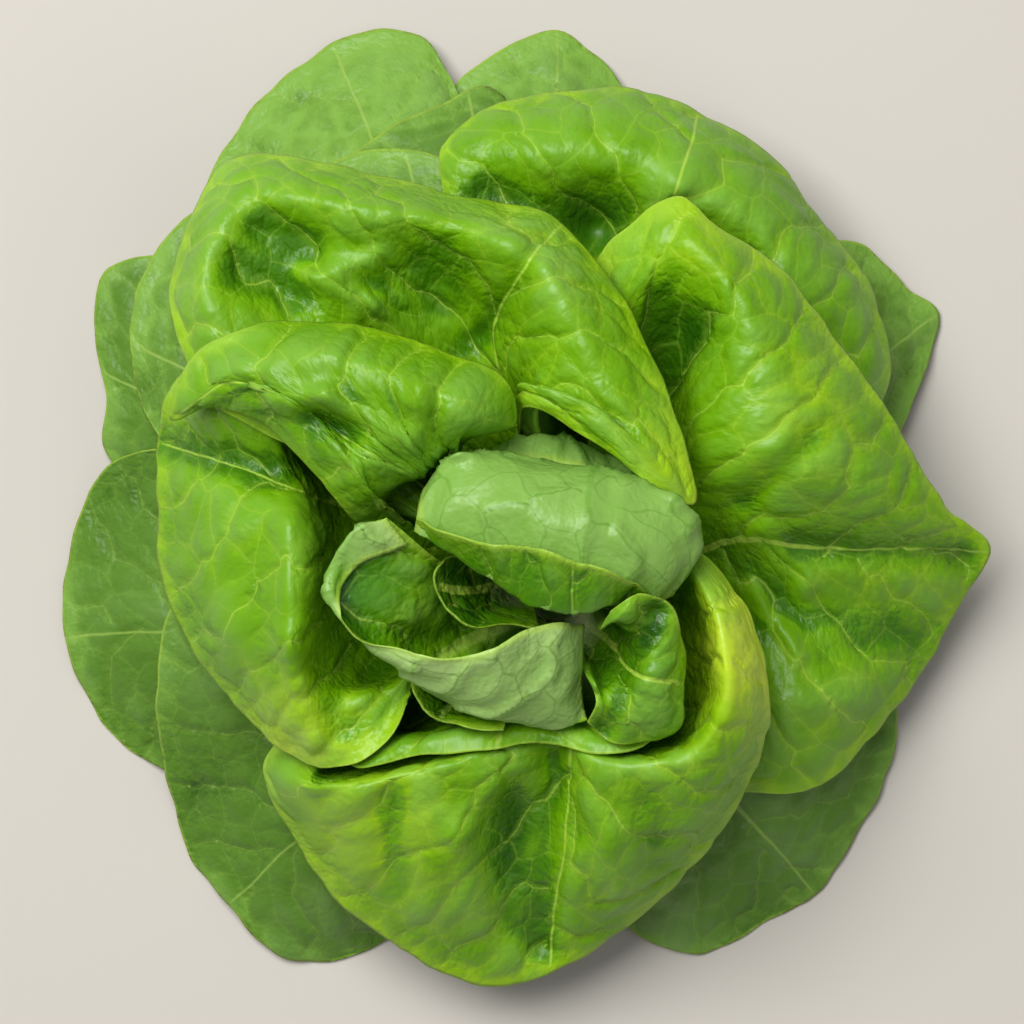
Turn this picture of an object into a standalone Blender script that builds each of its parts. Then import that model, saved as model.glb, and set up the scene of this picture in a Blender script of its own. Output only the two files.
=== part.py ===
"""Butterhead lettuce, cut at the base and opened out: a short stem and the leaves of its rosette.

Lengths in the tables are millimetres from the centre of the cut face of the stem, +Z up.
A leaf is a fan of lines that leave the stem, rise over a crest and end at the margin. Each ring
of points crosses those lines, from the leaf's left side to its right, looking out from the stem.
"""
import math

import bmesh
import bpy
import numpy as np
from mathutils import Vector
from mathutils.bvhtree import BVHTree

MM = 0.001

# Stem
STEM_FOOT_RADIUS = 13.0
STEM_TOP_RADIUS = 4.5
STEM_HEIGHT = 44.0
STEM_SIDES = 20

# Blades
BLADE_THICKNESS = 0.9
LOWEST_MIDDLE = 0.55
STEM_GAP = 0.9
BASE_HALF_ANGLE = math.radians(27.0)
STACK_CLEARANCE = 3.0
STACK_REACH = 2.0
HEART_COVER = 9.0
CEILING = 500.0
STACK_PASSES = 40
STACK_TOLERANCE = 0.05
STACK_STEP = 0.7
STACK_EASE = 0.75
CREST_OUT = 0.56
ARCH_FALL = 0.4
FOOT_OUT = 0.5
FOOT_UP = 0.5
SWELL_REACH = 30.0

# Surface colours, linear
STEM_COLOUR = (0.55, 0.62, 0.36)
OUTER_GREEN = (0.055, 0.17, 0.035)
BLADE_GREEN = (0.11, 0.29, 0.025)
HEART_GREEN = (0.30, 0.46, 0.12)
SKIN_ROUGHNESS = 0.42


def leaf(name, azimuth, base, edge, colour, arch=None, crest=None, neck=None, shoulder=None,
         rim=None, swell=None, foot=(FOOT_OUT, FOOT_UP), folds=(), wave=(0.0, 1.0),
         grid=(7, 14), cover=CEILING):
    """One leaf: its direction in degrees, height on the stem, rings, folds and margin wave."""
    return dict(name=name, azimuth=azimuth, base=base, edge=edge, colour=colour, arch=arch,
                crest=crest, neck=neck, shoulder=shoulder, rim=rim, swell=swell, foot=foot,
                folds=folds, wave=wave, grid=grid, cover=cover)


# A fold is (x1, y1, x2, y2, height, half width): a ridge, or a furrow where height is negative.
# The leaves come in the order of growth, the outermost first.
LEAVES = [
    leaf("outer_leaf_left_upper", 150, 5, arch=28, colour=OUTER_GREEN, wave=(1.5, 3.0),
         edge=[(-38.5, 12, 16), (-76.5, 20, 10), (-102.5, 25, 6), (-116, 36.5, 3), (-115, 49, 4),
               (-118, 63.5, 2), (-115, 82, 3), (-103.5, 85.5, 6), (-77.5, 71, 12),
               (-36.5, 42.5, 17)]),
    leaf("outer_leaf_left", 186, 5, arch=28, colour=OUTER_GREEN, wave=(1.5, 3.5),
         edge=[(-36.5, -23, 16), (-73.5, -43.5, 9), (-99.5, -47, 3), (-114, -37.5, 1),
               (-122.5, -23.5, 1), (-126.5, -4.5, 2), (-124, 12, 3), (-116, 29.5, 6),
               (-85.5, 36.5, 14), (-38.5, 22, 20)]),
    leaf("outer_leaf_lower_left", 230, 5, arch=30, colour=OUTER_GREEN, wave=(1.2, 4.0),
         edge=[(-8, -37, 16), (-22.5, -72.5, 8), (-43, -91, 2), (-63.5, -96.5, 1), (-78, -89.5, 1),
               (-83, -82, 2), (-92.5, -71.5, 1), (-98.5, -52, 3), (-101, -23, 10),
               (-93.5, 1.5, 18), (-42.5, 4, 20)]),
    leaf("outer_leaf_lower_right", 308, 5, arch=30, colour=OUTER_GREEN, wave=(1.0, 3.0),
         edge=[(41, -4.5, 18), (78, -10.5, 12), (88.5, -31.5, 5), (86, -47, 2), (78.5, -62.5, 1),
               (68.5, -78, 1), (53, -87, 1), (37.5, -94.5, 1), (21, -89, 2), (10.5, -62, 10),
               (6.5, -33, 15)]),
    leaf("outer_leaf_right", 35, 5, arch=28, colour=OUTER_GREEN, wave=(1.0, 2.5),
         edge=[(33, 46.5, 16), (59.5, 83.5, 10), (77.5, 89, 5), (91, 77.5, 3), (99.5, 70.5, 2),
               (97, 61, 3), (90.5, 43.5, 7), (80, 22, 12), (39, 10, 18)]),
    leaf("outer_leaf_top", 90, 5, arch=30, colour=OUTER_GREEN, wave=(1.0, 2.5),
         edge=[(-14, 45.5, 16), (-28.5, 93.5, 10), (-26.5, 127, 5), (-12, 139.5, 2),
               (1.5, 143.5, 1), (9.5, 138.5, 2), (18, 128, 4), (25, 93.5, 10), (14.5, 45.5, 16)]),
    leaf("outer_leaf_upper_left", 117, 7, arch=34, colour=OUTER_GREEN, wave=(1.5, 3.0),
         edge=[(-40.5, 38.5, 18), (-79.5, 79.5, 12), (-89, 102, 8), (-80, 120, 4),
               (-65.5, 134.5, 2), (-46, 143.5, 1), (-34.5, 142, 2), (-26.5, 131, 5),
               (-20, 102, 12), (-10, 46.5, 20)]),
    leaf("outer_leaf_left_inner", 142, 9, arch=36, colour=OUTER_GREEN, wave=(1.0, 3.0),
         edge=[(-42.5, 18, 24), (-79, 28, 18), (-100, 38.5, 12), (-105.5, 48.5, 9),
               (-108.5, 65, 7), (-102.5, 84.5, 8), (-92, 96, 10), (-71, 91, 18), (-34.5, 46.5, 26)]),
    leaf("second_leaf_top", 108, 12, arch=40, colour=OUTER_GREEN, wave=(0.8, 3.0), grid=(7, 10),
         edge=[(-26, 42, 28), (-56.5, 85, 22), (-52, 108.5, 16), (-30.5, 122, 12), (-16, 128, 10),
               (-9, 120, 13), (-4, 93, 22), (-4, 46.5, 28)]),
    leaf("second_leaf_upper_left", 122, 15, arch=50, colour=OUTER_GREEN, wave=(1.0, 3.0),
         grid=(7, 12),
         edge=[(-34, 38, 36), (-68.5, 80.5, 34), (-62.5, 103.5, 30), (-45.5, 110.5, 28),
               (-30, 109, 28), (-20, 101.5, 32), (-10, 78, 38), (-8, 42, 38)]),
    leaf("second_leaf_upper_right", 62, 12, colour=BLADE_GREEN, wave=(0.8, 4.0), grid=(9, 16),
         swell=4,
         folds=[(-14, 97.5, 10, 91.5, -9, 9), (10, 91.5, 44.5, 81.5, -7, 10),
                (0, 59.5, 29.5, 99.5, 4, 6)],
         edge=[(-12, 48, 40), (-24, 87.5, 46), (-28, 111, 42), (-20, 119, 38), (-2, 124.5, 35),
               (18, 126, 32), (37.5, 120, 30), (52.5, 111, 28), (67, 94, 26), (79, 77.5, 26),
               (85, 54.5, 28), (58.5, 30, 34), (26, 14, 34)],
         crest=[(-9, 38, 40), (-17, 77.5, 48), (-19, 102, 52), (-12, 107, 54), (0, 111, 55),
                (16.5, 112, 54), (32.5, 107, 54), (45.5, 98, 53), (57.5, 83.5, 50), (67.5, 68, 46),
                (69.5, 48, 44), (48, 26, 42), (22, 11, 36)]),
    leaf("third_leaf_right", 8, 15, colour=BLADE_GREEN, wave=(0.8, 5.0), grid=(11, 20), swell=4,
         foot=(0.6, 0.57),
         folds=[(26.5, 51.5, 30.5, 63.5, -6, 6), (61, 11, 102.5, 8, -4, 4),
                (59, -5.5, 83, -7.5, -4, 9), (49, 0.5, 61, -16.5, 3, 3), (63, 1, 63.5, 1, 2, 3),
                (49, 14, 45.5, 17, 3, 4)],
         edge=[(8, 48, 50), (8.5, 79, 58), (17.5, 89.5, 64), (31, 96.5, 66), (37, 91.5, 67),
               (53, 81, 63), (69, 62.5, 57), (83.5, 43, 49), (97, 22, 38), (110, 9.5, 23),
               (104, -2.5, 18), (95, -19.5, 16), (85.5, -32, 18), (63, -51, 24), (40.5, -48.5, 30),
               (20.5, -18.5, 24)],
         crest=[(8, 40, 48), (12.5, 65.5, 60), (20.5, 75.5, 68), (30, 82.5, 74), (36.5, 79, 76),
                (45.5, 66.5, 77), (50, 53, 76), (54, 41.5, 75), (59, 29, 71), (62.5, 12, 51),
                (66, -2, 42), (66, -14, 41), (62, -24, 42), (50, -34, 40), (32, -32, 34),
                (17.5, -14.5, 24)],
         neck=[(8, 30, 38), (12, 50, 50), (17.5, 60.5, 55), (25.5, 64.5, 57), (31.5, 60.5, 60),
               (34, 53.5, 64), (35, 45.5, 66), (36, 37.5, 67), (41, 27, 64), (45.5, 13, 47),
               (49, 2, 40), (49, -8, 38), (44, -16, 38), (36, -22, 35), (24.5, -22.5, 29),
               (14.5, -10.5, 22)]),
    leaf("third_leaf_bottom", 264, 19, colour=BLADE_GREEN, wave=(0.8, 6.0), grid=(11, 20),
         swell=6, foot=(0.8, 0.4),
         folds=[(0, -42.5, -3, -89.5, -6, 4.5), (-10, -54.5, -10, -82, -6, 8),
                (4.5, -47.5, 6.5, -59.5, -4, 4), (16.5, -60.5, 19.5, -74, 4, 7),
                (-32.5, -58.5, -30.5, -78, 4, 8), (-49, -54.5, -49, -68, 3, 7)],
         edge=[(22, -2, 46), (36.5, 9, 70), (43.5, 0, 70), (50.5, -13.5, 66), (52.5, -29, 60),
               (49.5, -44.5, 52), (40, -62, 42), (28, -76.5, 32), (10, -91, 26), (-13.5, -101, 21),
               (-38.5, -91.5, 24), (-58.5, -74, 27), (-67.5, -59.5, 32), (-73, -45, 36),
               (-70, -38, 40), (-34, -22, 36)],
         crest=[(17, -3, 42), (32, 5.5, 74), (37.5, -4, 80), (40, -14, 82), (41, -24.5, 81),
                (37.5, -34.5, 78), (31, -41.5, 75), (19, -44.5, 72), (7.5, -43.5, 70),
                (-1, -43, 62), (-14, -42.5, 67), (-31.5, -44.5, 68), (-49.5, -47.5, 64),
                (-60.5, -45, 56), (-51.5, -35.5, 48), (-22, -14, 34)]),
    leaf("third_leaf_rolled", 262, 21, colour=BLADE_GREEN, wave=(0.5, 6.0), grid=(7, 16),
         foot=(0.85, 0.45),
         edge=[(15, -12, 46), (25.5, -35, 64), (18.5, -39, 66), (7.5, -39, 66), (-3, -37, 64),
               (-14, -38, 65), (-24.5, -39.5, 66), (-36.5, -40.5, 66), (-49.5, -43, 62),
               (-53.5, -37, 58), (-26, -15.5, 49)],
         crest=[(12, -10, 44), (21.5, -32, 64), (16.5, -35, 67), (7.5, -35, 67), (-3, -33, 65),
                (-13, -34, 66), (-22.5, -35, 67), (-33.5, -37, 67), (-43.5, -38, 62),
                (-45.5, -33.5, 56), (-22, -14, 48)]),
    leaf("third_leaf_left", 178, 22, colour=BLADE_GREEN, wave=(0.8, 5.0), grid=(11, 18), swell=6,
         foot=(0.78, 0.5),
         folds=[(-97, 36.5, -65, 29, -7, 6), (-65, 24, -65, -12.5, 3, 4),
                (-65, -12.5, -59, -37, 3, 4), (-82.5, -9.5, -84.5, 2.5, 3, 7),
                (-83.5, 14, -78.5, 16, 2, 6)],
         edge=[(-18, -11, 38), (-36.5, -20.5, 54), (-36.5, -28.5, 58), (-44.5, -39, 56),
               (-56.5, -43.5, 53), (-67.5, -39.5, 50), (-82, -25, 46), (-91.5, -13.5, 44),
               (-98, 3, 43), (-99, 21, 44), (-99, 38, 48), (-93, 53.5, 54), (-79, 59.5, 60),
               (-49.5, 45.5, 58), (-22, 21.5, 46)],
         crest=[(-15, -9, 36), (-29, -15, 46), (-36.5, -21.5, 56), (-45.5, -26, 62),
                (-55, -27, 67), (-60.5, -23, 73), (-63.5, -13, 80), (-64, -3, 83), (-64, 7.5, 83),
                (-65, 17, 81), (-67.5, 28, 73), (-71.5, 41.5, 74), (-61, 45.5, 70),
                (-39.5, 34, 58), (-19, 18, 44)]),
    leaf("third_leaf_upper_left", 112, 24, colour=BLADE_GREEN, wave=(0.8, 6.0), grid=(12, 22),
         swell=2,
         folds=[(-71, 88, -63.5, 85, -8, 7), (-77, 78, -66.5, 73.5, -7, 6),
                (-60.5, 76.5, -44, 81, 3, 3), (-52, 74.5, -49, 68.5, 3, 6),
                (-27.5, 82, -20.5, 63.5, -6, 8), (-3, 86, -17, 63.5, -3, 3)],
         edge=[(-30, 17, 55), (-61, 33.5, 62), (-86.5, 49.5, 64), (-94.5, 72, 60), (-91.5, 89, 56),
               (-81, 106.5, 54), (-55.5, 105, 58), (-26, 98, 60), (1, 90.5, 64), (12.5, 77.5, 69),
               (21, 62.5, 76), (28, 45, 79), (33.5, 21, 78), (22.5, 26.5, 86), (9, 36.5, 86),
               (-7, 45, 82), (-8, 35.5, 60), (-6, 20, 46)],
         crest=[(-24, 15, 53), (-49.5, 32, 64), (-76, 52, 74), (-86, 70.5, 76), (-83, 86, 76),
                (-72, 96, 76), (-50.5, 94.5, 79), (-25.5, 89.5, 81), (-5, 81.5, 86), (2.5, 72, 88),
                (8, 61.5, 89), (14, 49, 89), (20, 36.5, 87), (11, 43, 91), (1.5, 47, 90),
                (-9, 50, 84), (-8, 34, 58), (-5, 18, 44)],
         neck=[(-18, 13, 47), (-35.5, 26, 56), (-55, 43.5, 64), (-63, 57, 67), (-59, 69, 68),
               (-53, 75.5, 69), (-43, 78.5, 69), (-27.5, 74.5, 68), (-15, 67, 70), (-9, 61, 75),
               (-5, 55, 79), (-3.5, 50, 81), (-1.5, 46, 82), (-4, 47, 81), (-7, 48, 78),
               (-9, 45.5, 68), (-6, 30, 52), (-4, 15, 40)]),
    leaf("third_leaf_hooded", 140, 26, colour=BLADE_GREEN, wave=(0.6, 5.0), grid=(11, 18),
         swell=2, foot=(0.85, 0.45),
         folds=[(-68, 46, -55.5, 47, 3, 3), (-55.5, 47, -35, 35.5, 3, 3),
                (-58, 42, -50.5, 39.5, -4, 4), (-44.5, 32.5, -43, 34.5, 3, 5),
                (-33, 39.5, -33, 49, 2, 3)],
         edge=[(-24, 6, 44), (-46, 15, 72), (-53.5, 23, 82), (-61, 31.5, 84), (-71, 41, 82),
               (-82, 45, 76), (-94, 42.5, 66), (-87.5, 58, 68), (-72, 64.5, 76), (-47, 64.5, 80),
               (-27.5, 58.5, 84), (-11, 49, 86), (-9, 41, 84), (-20.5, 37.5, 80), (-12, 17, 48)],
         crest=[(-20, 6, 42), (-41, 19, 76), (-46.5, 25, 91), (-53, 33.5, 94), (-61.5, 43, 94),
                (-70.5, 49, 91), (-79.5, 51, 86), (-74.5, 54.5, 90), (-61.5, 57.5, 94),
                (-45.5, 55.5, 97), (-31, 50.5, 99), (-20.5, 45.5, 99), (-18.5, 41, 96),
                (-24.5, 36.5, 88), (-14, 17, 47)],
         neck=[(-17, 5, 40), (-35.5, 16, 64), (-43, 21, 80), (-43.5, 25, 86), (-42.5, 27.5, 88),
               (-41, 29.5, 89), (-39, 30.5, 90), (-37, 31.5, 90), (-35, 32.5, 90), (-32, 33.5, 90),
               (-28.5, 34.5, 90), (-25.5, 35.5, 90), (-24.5, 34.5, 87), (-23.5, 29.5, 72),
               (-14, 14, 45)]),
    leaf("heart_leaf_back", 85, 29, colour=HEART_GREEN, wave=(0.6, 3.0), grid=(6, 10),
         cover=HEART_COVER,
         edge=[(-17, 33, 69), (-11, 33, 71), (-3, 32, 72), (4.5, 30.5, 72), (12.5, 28.5, 71),
               (20.5, 25, 69)],
         crest=[(-16, 34.5, 60), (-10, 37, 63), (-2, 38, 64), (5.5, 36, 64), (13.5, 32, 63),
                (21.5, 28, 61)]),
    leaf("heart_leaf_roll", 238, 29, colour=HEART_GREEN, wave=(0.5, 4.0), grid=(6, 12),
         foot=(0.6, 0.35), cover=HEART_COVER,
         edge=[(-13, -34, 67), (-18, -33.5, 70), (-24.5, -32, 71), (-30.5, -29.5, 71),
               (-34.5, -25, 70), (-35.5, -20, 66)],
         crest=[(-12, -30.5, 58), (-17, -30.5, 60), (-23, -29, 61), (-27.5, -27, 60),
                (-30.5, -22.5, 61), (-28.5, -18, 61)]),
    leaf("heart_leaf_cup", 225, 31, colour=HEART_GREEN, wave=(0.6, 5.0), grid=(9, 16),
         cover=HEART_COVER,
         edge=[(7, -8, 78), (0.5, -7, 86), (-9, -9.5, 91), (-18.5, -14.5, 93), (-26.5, -15.5, 93),
               (-37, -13.5, 91), (-48.5, -10.5, 89), (-52.5, 0.5, 85), (-46.5, 7, 85),
               (-36, 11.5, 84)],
         shoulder=[(6.5, -23, 72), (0.5, -23.5, 79), (-10, -24.5, 83), (-20.5, -23.5, 85),
                   (-31, -20, 86), (-42, -15.5, 86), (-50.5, -7, 84), (-55, 4.5, 86),
                   (-49.5, 14, 88), (-41, 18, 87)],
         crest=[(7.5, -31, 62), (0, -33, 64), (-12, -31, 66), (-22, -28, 68), (-30.5, -24, 68),
                (-35.5, -13, 70), (-35.5, -6, 76), (-35, 1.5, 78), (-33.5, 6.5, 78),
                (-29.5, 8.5, 76)]),
    leaf("heart_leaf_hood", 80, 33, colour=HEART_GREEN, wave=(0.5, 5.0), grid=(14, 14),
         cover=HEART_COVER,
         edge=[(-34, 17.5, 92), (-27, 14.5, 97), (-17.5, 12.5, 101), (-6, 11, 103), (3.5, 8, 103),
               (13, 5, 101), (17.5, 3, 97), (20.5, 1, 92), (22.5, -3, 86)],
         rim=[(-34, 15, 88), (-24.5, 9, 91), (-14, 2, 92), (-6, -3, 92), (4, -5, 92), (13, -3, 91),
              (19, -2, 88), (22, -2, 86), (23, -4, 82)],
         shoulder=[(-33, 19, 89), (-25.5, 21, 94), (-16, 21, 97), (-4.5, 19, 99), (7, 16, 99),
                   (16.5, 13.5, 97), (24.5, 9.5, 94), (27.5, 4.5, 89), (24.5, -2, 83)],
         crest=[(-32, 24, 84), (-25.5, 30.5, 87), (-17, 30.5, 90), (-4.5, 28.5, 91), (8, 26.5, 91),
                (19.5, 24, 90), (30.5, 19, 88), (33.5, 11.5, 85), (28, -0.5, 79)],
         neck=[(-27, 19, 58), (-23, 27, 62), (-14, 29, 63), (-4, 27, 63), (7.5, 25, 63),
               (18.5, 20, 63), (23.5, 13, 62), (24.5, 6, 60), (19.5, -1.5, 56)]),
    leaf("heart_leaf_right", 315, 35, colour=BLADE_GREEN, wave=(0.8, 4.0), grid=(9, 14),
         cover=HEART_COVER,
         folds=[(23.5, -5, 12, -33, -4, 3), (29.5, -8, 25.5, -31, 3, 4), (17, -3, 6.5, -28, 2, 3)],
         edge=[(13, -4, 80), (20, 0, 84), (26.5, -2, 84), (30, -11, 80), (31.5, -22, 76),
               (30, -32.5, 73), (22, -36.5, 71), (12.5, -36, 72), (7.5, -31.5, 75)],
         crest=[(11, -8, 84), (16, -6, 88), (20.5, -8, 89), (22.5, -13.5, 88), (22, -20.5, 86),
                (19, -26.5, 84), (15, -29.5, 82), (11.5, -29.5, 81), (9.5, -27.5, 80)]),
    leaf("heart_leaf_middle", 160, 39, colour=BLADE_GREEN, wave=(1.2, 3.0), grid=(6, 8),
         cover=HEART_COVER,
         edge=[(-4, -8, 74), (-14, -8, 77), (-23.5, -7, 81), (-28.5, -1.5, 81), (-29.5, 4.5, 80),
               (-26.5, 8.5, 77), (-18, 6.5, 75), (-8, 1.5, 72)],
         crest=[(-5, -4.5, 61), (-12, -4.5, 63), (-17, -3.5, 65), (-20, -0.5, 66), (-21, 2.5, 66),
                (-19, 4.5, 65), (-13, 4.5, 63), (-7, 1.5, 61)]),
]


def knots(points):
    """Distances along a line of points, from 0 to 1."""
    steps = np.linalg.norm(np.diff(points, axis=0), axis=1)
    along = np.concatenate([[0.0], np.cumsum(np.maximum(steps, 0.5))])
    return along / along[-1]


def through(marks, values, where):
    """A smooth curve through values at marks, read at where."""
    slopes = np.diff(values, axis=0) / np.diff(marks).reshape(-1, *[1] * (values.ndim - 1))
    gaps = np.diff(marks).reshape(-1, *[1] * (values.ndim - 1))
    inner = (slopes[:-1] * gaps[1:] + slopes[1:] * gaps[:-1]) / (gaps[:-1] + gaps[1:])
    tangents = np.concatenate([slopes[:1], inner, slopes[-1:]])
    cell = np.clip(np.searchsorted(marks, where, side="right") - 1, 0, len(marks) - 2)
    width = (marks[cell + 1] - marks[cell])
    t = ((where - marks[cell]) / width).reshape(-1, *[1] * (values.ndim - 1))
    width = width.reshape(t.shape)
    return ((2 * t**3 - 3 * t**2 + 1) * values[cell] + (t**3 - 2 * t**2 + t) * width * tangents[cell]
            + (3 * t**2 - 2 * t**3) * values[cell + 1] + (t**3 - t**2) * width * tangents[cell + 1])


def stem_radius(height):
    return STEM_FOOT_RADIUS + (STEM_TOP_RADIUS - STEM_FOOT_RADIUS) * height / STEM_HEIGHT


def rings(spec):
    """The leaf's rings of points, from the stem out to the margin."""
    edge = np.array(spec["edge"], float)
    turn = np.linspace(BASE_HALF_ANGLE, -BASE_HALF_ANGLE, len(edge)) + math.radians(spec["azimuth"])
    radius = stem_radius(spec["base"]) + STEM_GAP
    base = np.stack([radius * np.cos(turn), radius * np.sin(turn),
                     np.full(len(edge), float(spec["base"]))], axis=1)
    listed = [spec[key] for key in ("neck", "crest", "shoulder", "rim") if spec[key]]
    explicit = [np.array(ring, float) for ring in listed]
    if spec["arch"]:
        side = np.abs(np.linspace(-1.0, 1.0, len(edge)))
        crest = base + (edge - base) * CREST_OUT
        crest[:, 2] = spec["arch"] * (1.0 - ARCH_FALL * side**2)
        explicit = [crest]
    if spec["swell"]:
        middle = (explicit[-1] + edge) / 2
        reach = np.linalg.norm(edge - explicit[-1], axis=1)
        middle[:, 2] += spec["swell"] * np.minimum(reach / SWELL_REACH, 1.0)
        explicit.append(middle)
    out, up = spec["foot"]
    foot = base + (explicit[0] - base) * out
    foot[:, 2] = base[:, 2] + (explicit[0][:, 2] - base[:, 2]) * up
    return np.array([base, foot, *explicit, edge])


def fold_lift(points, folds):
    """Height that the folds add at each point, by its distance from each fold's line."""
    lift = np.zeros(points.shape[:-1])
    for x1, y1, x2, y2, height, width in folds:
        start = np.array([x1, y1], float)
        line = np.array([x2 - x1, y2 - y1], float)
        along = np.clip(((points[..., :2] - start) @ line) / (line @ line), 0.0, 1.0)
        off = points[..., :2] - start - along[..., None] * line
        lift += height * np.exp(-(off**2).sum(-1) / width**2)
    return lift


def surface(spec, u, v):
    """Middle of the blade: a point for each u, from the stem out, and each v, from left to right."""
    net = rings(spec)
    across = through(knots(net[-1]), net.transpose(1, 0, 2), v)
    steps = np.linalg.norm(np.diff(net, axis=0), axis=2).mean(axis=1)
    marks = np.concatenate([[0.0], np.cumsum(steps)]) / steps.sum()
    points = through(marks, across.transpose(1, 0, 2), u)
    height, count = spec["wave"]
    ripple = height * np.outer(u**4, np.sin(2.0 * math.pi * count * v + spec["azimuth"]))
    points[..., 2] += fold_lift(points, spec["folds"]) + ripple
    points[..., 2] = np.maximum(points[..., 2], LOWEST_MIDDLE)
    return points


def samples(points):
    """Points of each cell with the weights of its corners: corners, edge middles and centre."""
    spots = [(a, b) for a in (0.0, 0.5, 1.0) for b in (0.0, 0.5, 1.0)]
    for a, b in spots:
        yield (a, b), ((1 - a) * (1 - b) * points[:-1, :-1] + a * (1 - b) * points[1:, :-1]
                       + (1 - a) * b * points[:-1, 1:] + a * b * points[1:, 1:])


def floor_height(tree, spot, cover):
    """Lowest height for a blade at the spot: the leaves laid so far and the gap kept to them.

    What hangs more than cover above the spot isn't counted.
    """
    height = -CEILING
    for dx, dy in ((0, 0), (1, 0), (-1, 0), (0, 1), (0, -1)):
        start = Vector((spot[0] + dx * STACK_REACH, spot[1] + dy * STACK_REACH, spot[2] + cover))
        place = tree.ray_cast(start, Vector((0.0, 0.0, -1.0)))[0]
        if place is not None:
            height = max(height, place.z + STACK_CLEARANCE)
    return height


def stack(points, tree, cover):
    """Lifts the blade where it would meet a leaf below, and eases the lift into its neighbours."""
    lift = np.zeros(points.shape[:2])
    tops = [np.array([[floor_height(tree, spot, cover) for spot in line] for line in grid])
            for _, grid in samples(points)]
    for _ in range(STACK_PASSES):
        moved = points.copy()
        moved[..., 2] += lift
        need = np.zeros_like(lift)
        for ((a, b), grid), top in zip(samples(moved), tops):
            short = np.maximum(top - grid[..., 2], 0.0)
            for da, db in ((0, 0), (1, 0), (0, 1), (1, 1)):
                if (a if da else 1 - a) * (b if db else 1 - b) > 0.0:
                    part = need[da:da + short.shape[0], db:db + short.shape[1]]
                    np.maximum(part, short, out=part)
        if need.max() < STACK_TOLERANCE:
            break
        lift += STACK_STEP * need
        padded = np.pad(lift, 1, mode="edge")
        around = (padded[:-2, 1:-1] + padded[2:, 1:-1] + padded[1:-1, :-2] + padded[1:-1, 2:]) / 4
        lift = np.maximum(lift, STACK_EASE * around)
    lifted = points.copy()
    lifted[..., 2] += lift
    return lifted


def normals(points):
    """Upward normals of the blade's grid."""
    out = np.gradient(points, axis=0)
    side = np.gradient(points, axis=1)
    facing = np.cross(side, out)
    return facing / np.maximum(np.linalg.norm(facing, axis=2, keepdims=True), 1e-9)


def grid_triangles(rows, columns):
    """Triangles of a grid of points, the diagonals turned alike on both faces of the blade."""
    def at(row, column):
        return row * (columns + 1) + column
    faces = []
    for row in range(rows):
        for column in range(columns):
            a, b = at(row, column), at(row + 1, column)
            c, d = at(row + 1, column + 1), at(row, column + 1)
            faces += [(a, b, c), (a, c, d)] if (row + column) % 2 else [(a, b, d), (b, c, d)]
    return faces


def blade_mesh(name, points):
    """Closed blade of even thickness round the grid of points."""
    rows, columns = points.shape[0] - 1, points.shape[1] - 1
    half = normals(points) * BLADE_THICKNESS / 2
    top = (points + half).reshape(-1, 3)
    below = (points - half).reshape(-1, 3)
    count = len(top)
    faces = grid_triangles(rows, columns)
    solid = faces + [tuple(index + count for index in reversed(face)) for face in faces]
    loop = ([(row, 0) for row in range(rows)] + [(rows, column) for column in range(columns)]
            + [(row, columns) for row in range(rows, 0, -1)]
            + [(0, column) for column in range(columns, 0, -1)])
    border = [row * (columns + 1) + column for row, column in loop]
    for here, there in zip(border, border[1:] + border[:1]):
        solid += [(there, here, here + count), (there, here + count, there + count)]
    mesh = bpy.data.meshes.new(name)
    mesh.from_pydata((np.concatenate([top, below]) * MM).tolist(), [], solid)
    build = bmesh.new()
    build.from_mesh(mesh)
    if build.calc_volume(signed=True) < 0.0:
        bmesh.ops.reverse_faces(build, faces=build.faces)
    build.to_mesh(mesh)
    build.free()
    mesh.shade_smooth()
    return mesh


def material(name, colour):
    skin = bpy.data.materials.new(name)
    skin.use_nodes = True
    shader = skin.node_tree.nodes["Principled BSDF"]
    shader.inputs["Base Color"].default_value = (*colour, 1.0)
    shader.inputs["Roughness"].default_value = SKIN_ROUGHNESS
    shader.inputs["Metallic"].default_value = 0.0
    return skin


def add_object(name, mesh, colour):
    mesh.materials.append(material("skin_of_" + name, colour))
    piece = bpy.data.objects.new(name, mesh)
    bpy.context.collection.objects.link(piece)
    return piece


def add_stem():
    """Short cone of flesh, cut flat below, that the leaves stand round."""
    build = bmesh.new()
    bmesh.ops.create_cone(build, cap_ends=True, segments=STEM_SIDES, radius1=STEM_FOOT_RADIUS * MM,
                          radius2=STEM_TOP_RADIUS * MM, depth=STEM_HEIGHT * MM)
    bmesh.ops.translate(build, verts=build.verts, vec=(0.0, 0.0, STEM_HEIGHT * MM / 2))
    mesh = bpy.data.meshes.new("stem")
    build.to_mesh(mesh)
    build.free()
    mesh.shade_smooth()
    return add_object("stem", mesh, STEM_COLOUR)


def add_leaves():
    """Leaves laid one on another, from the outermost to the innermost."""
    laid = []
    faces = []
    for spec in LEAVES:
        rows, columns = spec["grid"]
        points = surface(spec, np.linspace(0.0, 1.0, rows + 1), np.linspace(0.0, 1.0, columns + 1))
        if laid:
            tree = BVHTree.FromPolygons(np.concatenate(laid).tolist(), faces)
            points = stack(points, tree, spec["cover"])
        start = sum(len(part) for part in laid)
        laid.append(points.reshape(-1, 3))
        faces += [tuple(index + start for index in face) for face in grid_triangles(rows, columns)]
        add_object(spec["name"], blade_mesh(spec["name"], points), spec["colour"])


for old in list(bpy.data.objects):
    bpy.data.objects.remove(old, do_unlink=True)
add_stem()
add_leaves()
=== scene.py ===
"""Butterhead lettuce seen from straight above: the finished leaves and stem on a plain pale floor.

Every leaf is built from the same rings of points as its solid, in millimetres from the centre of
the stem's cut face, then divided finely, puffed between its veins and given its rib.
"""
import math

import bpy
import numpy as np
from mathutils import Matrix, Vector
from mathutils.bvhtree import BVHTree


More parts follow.
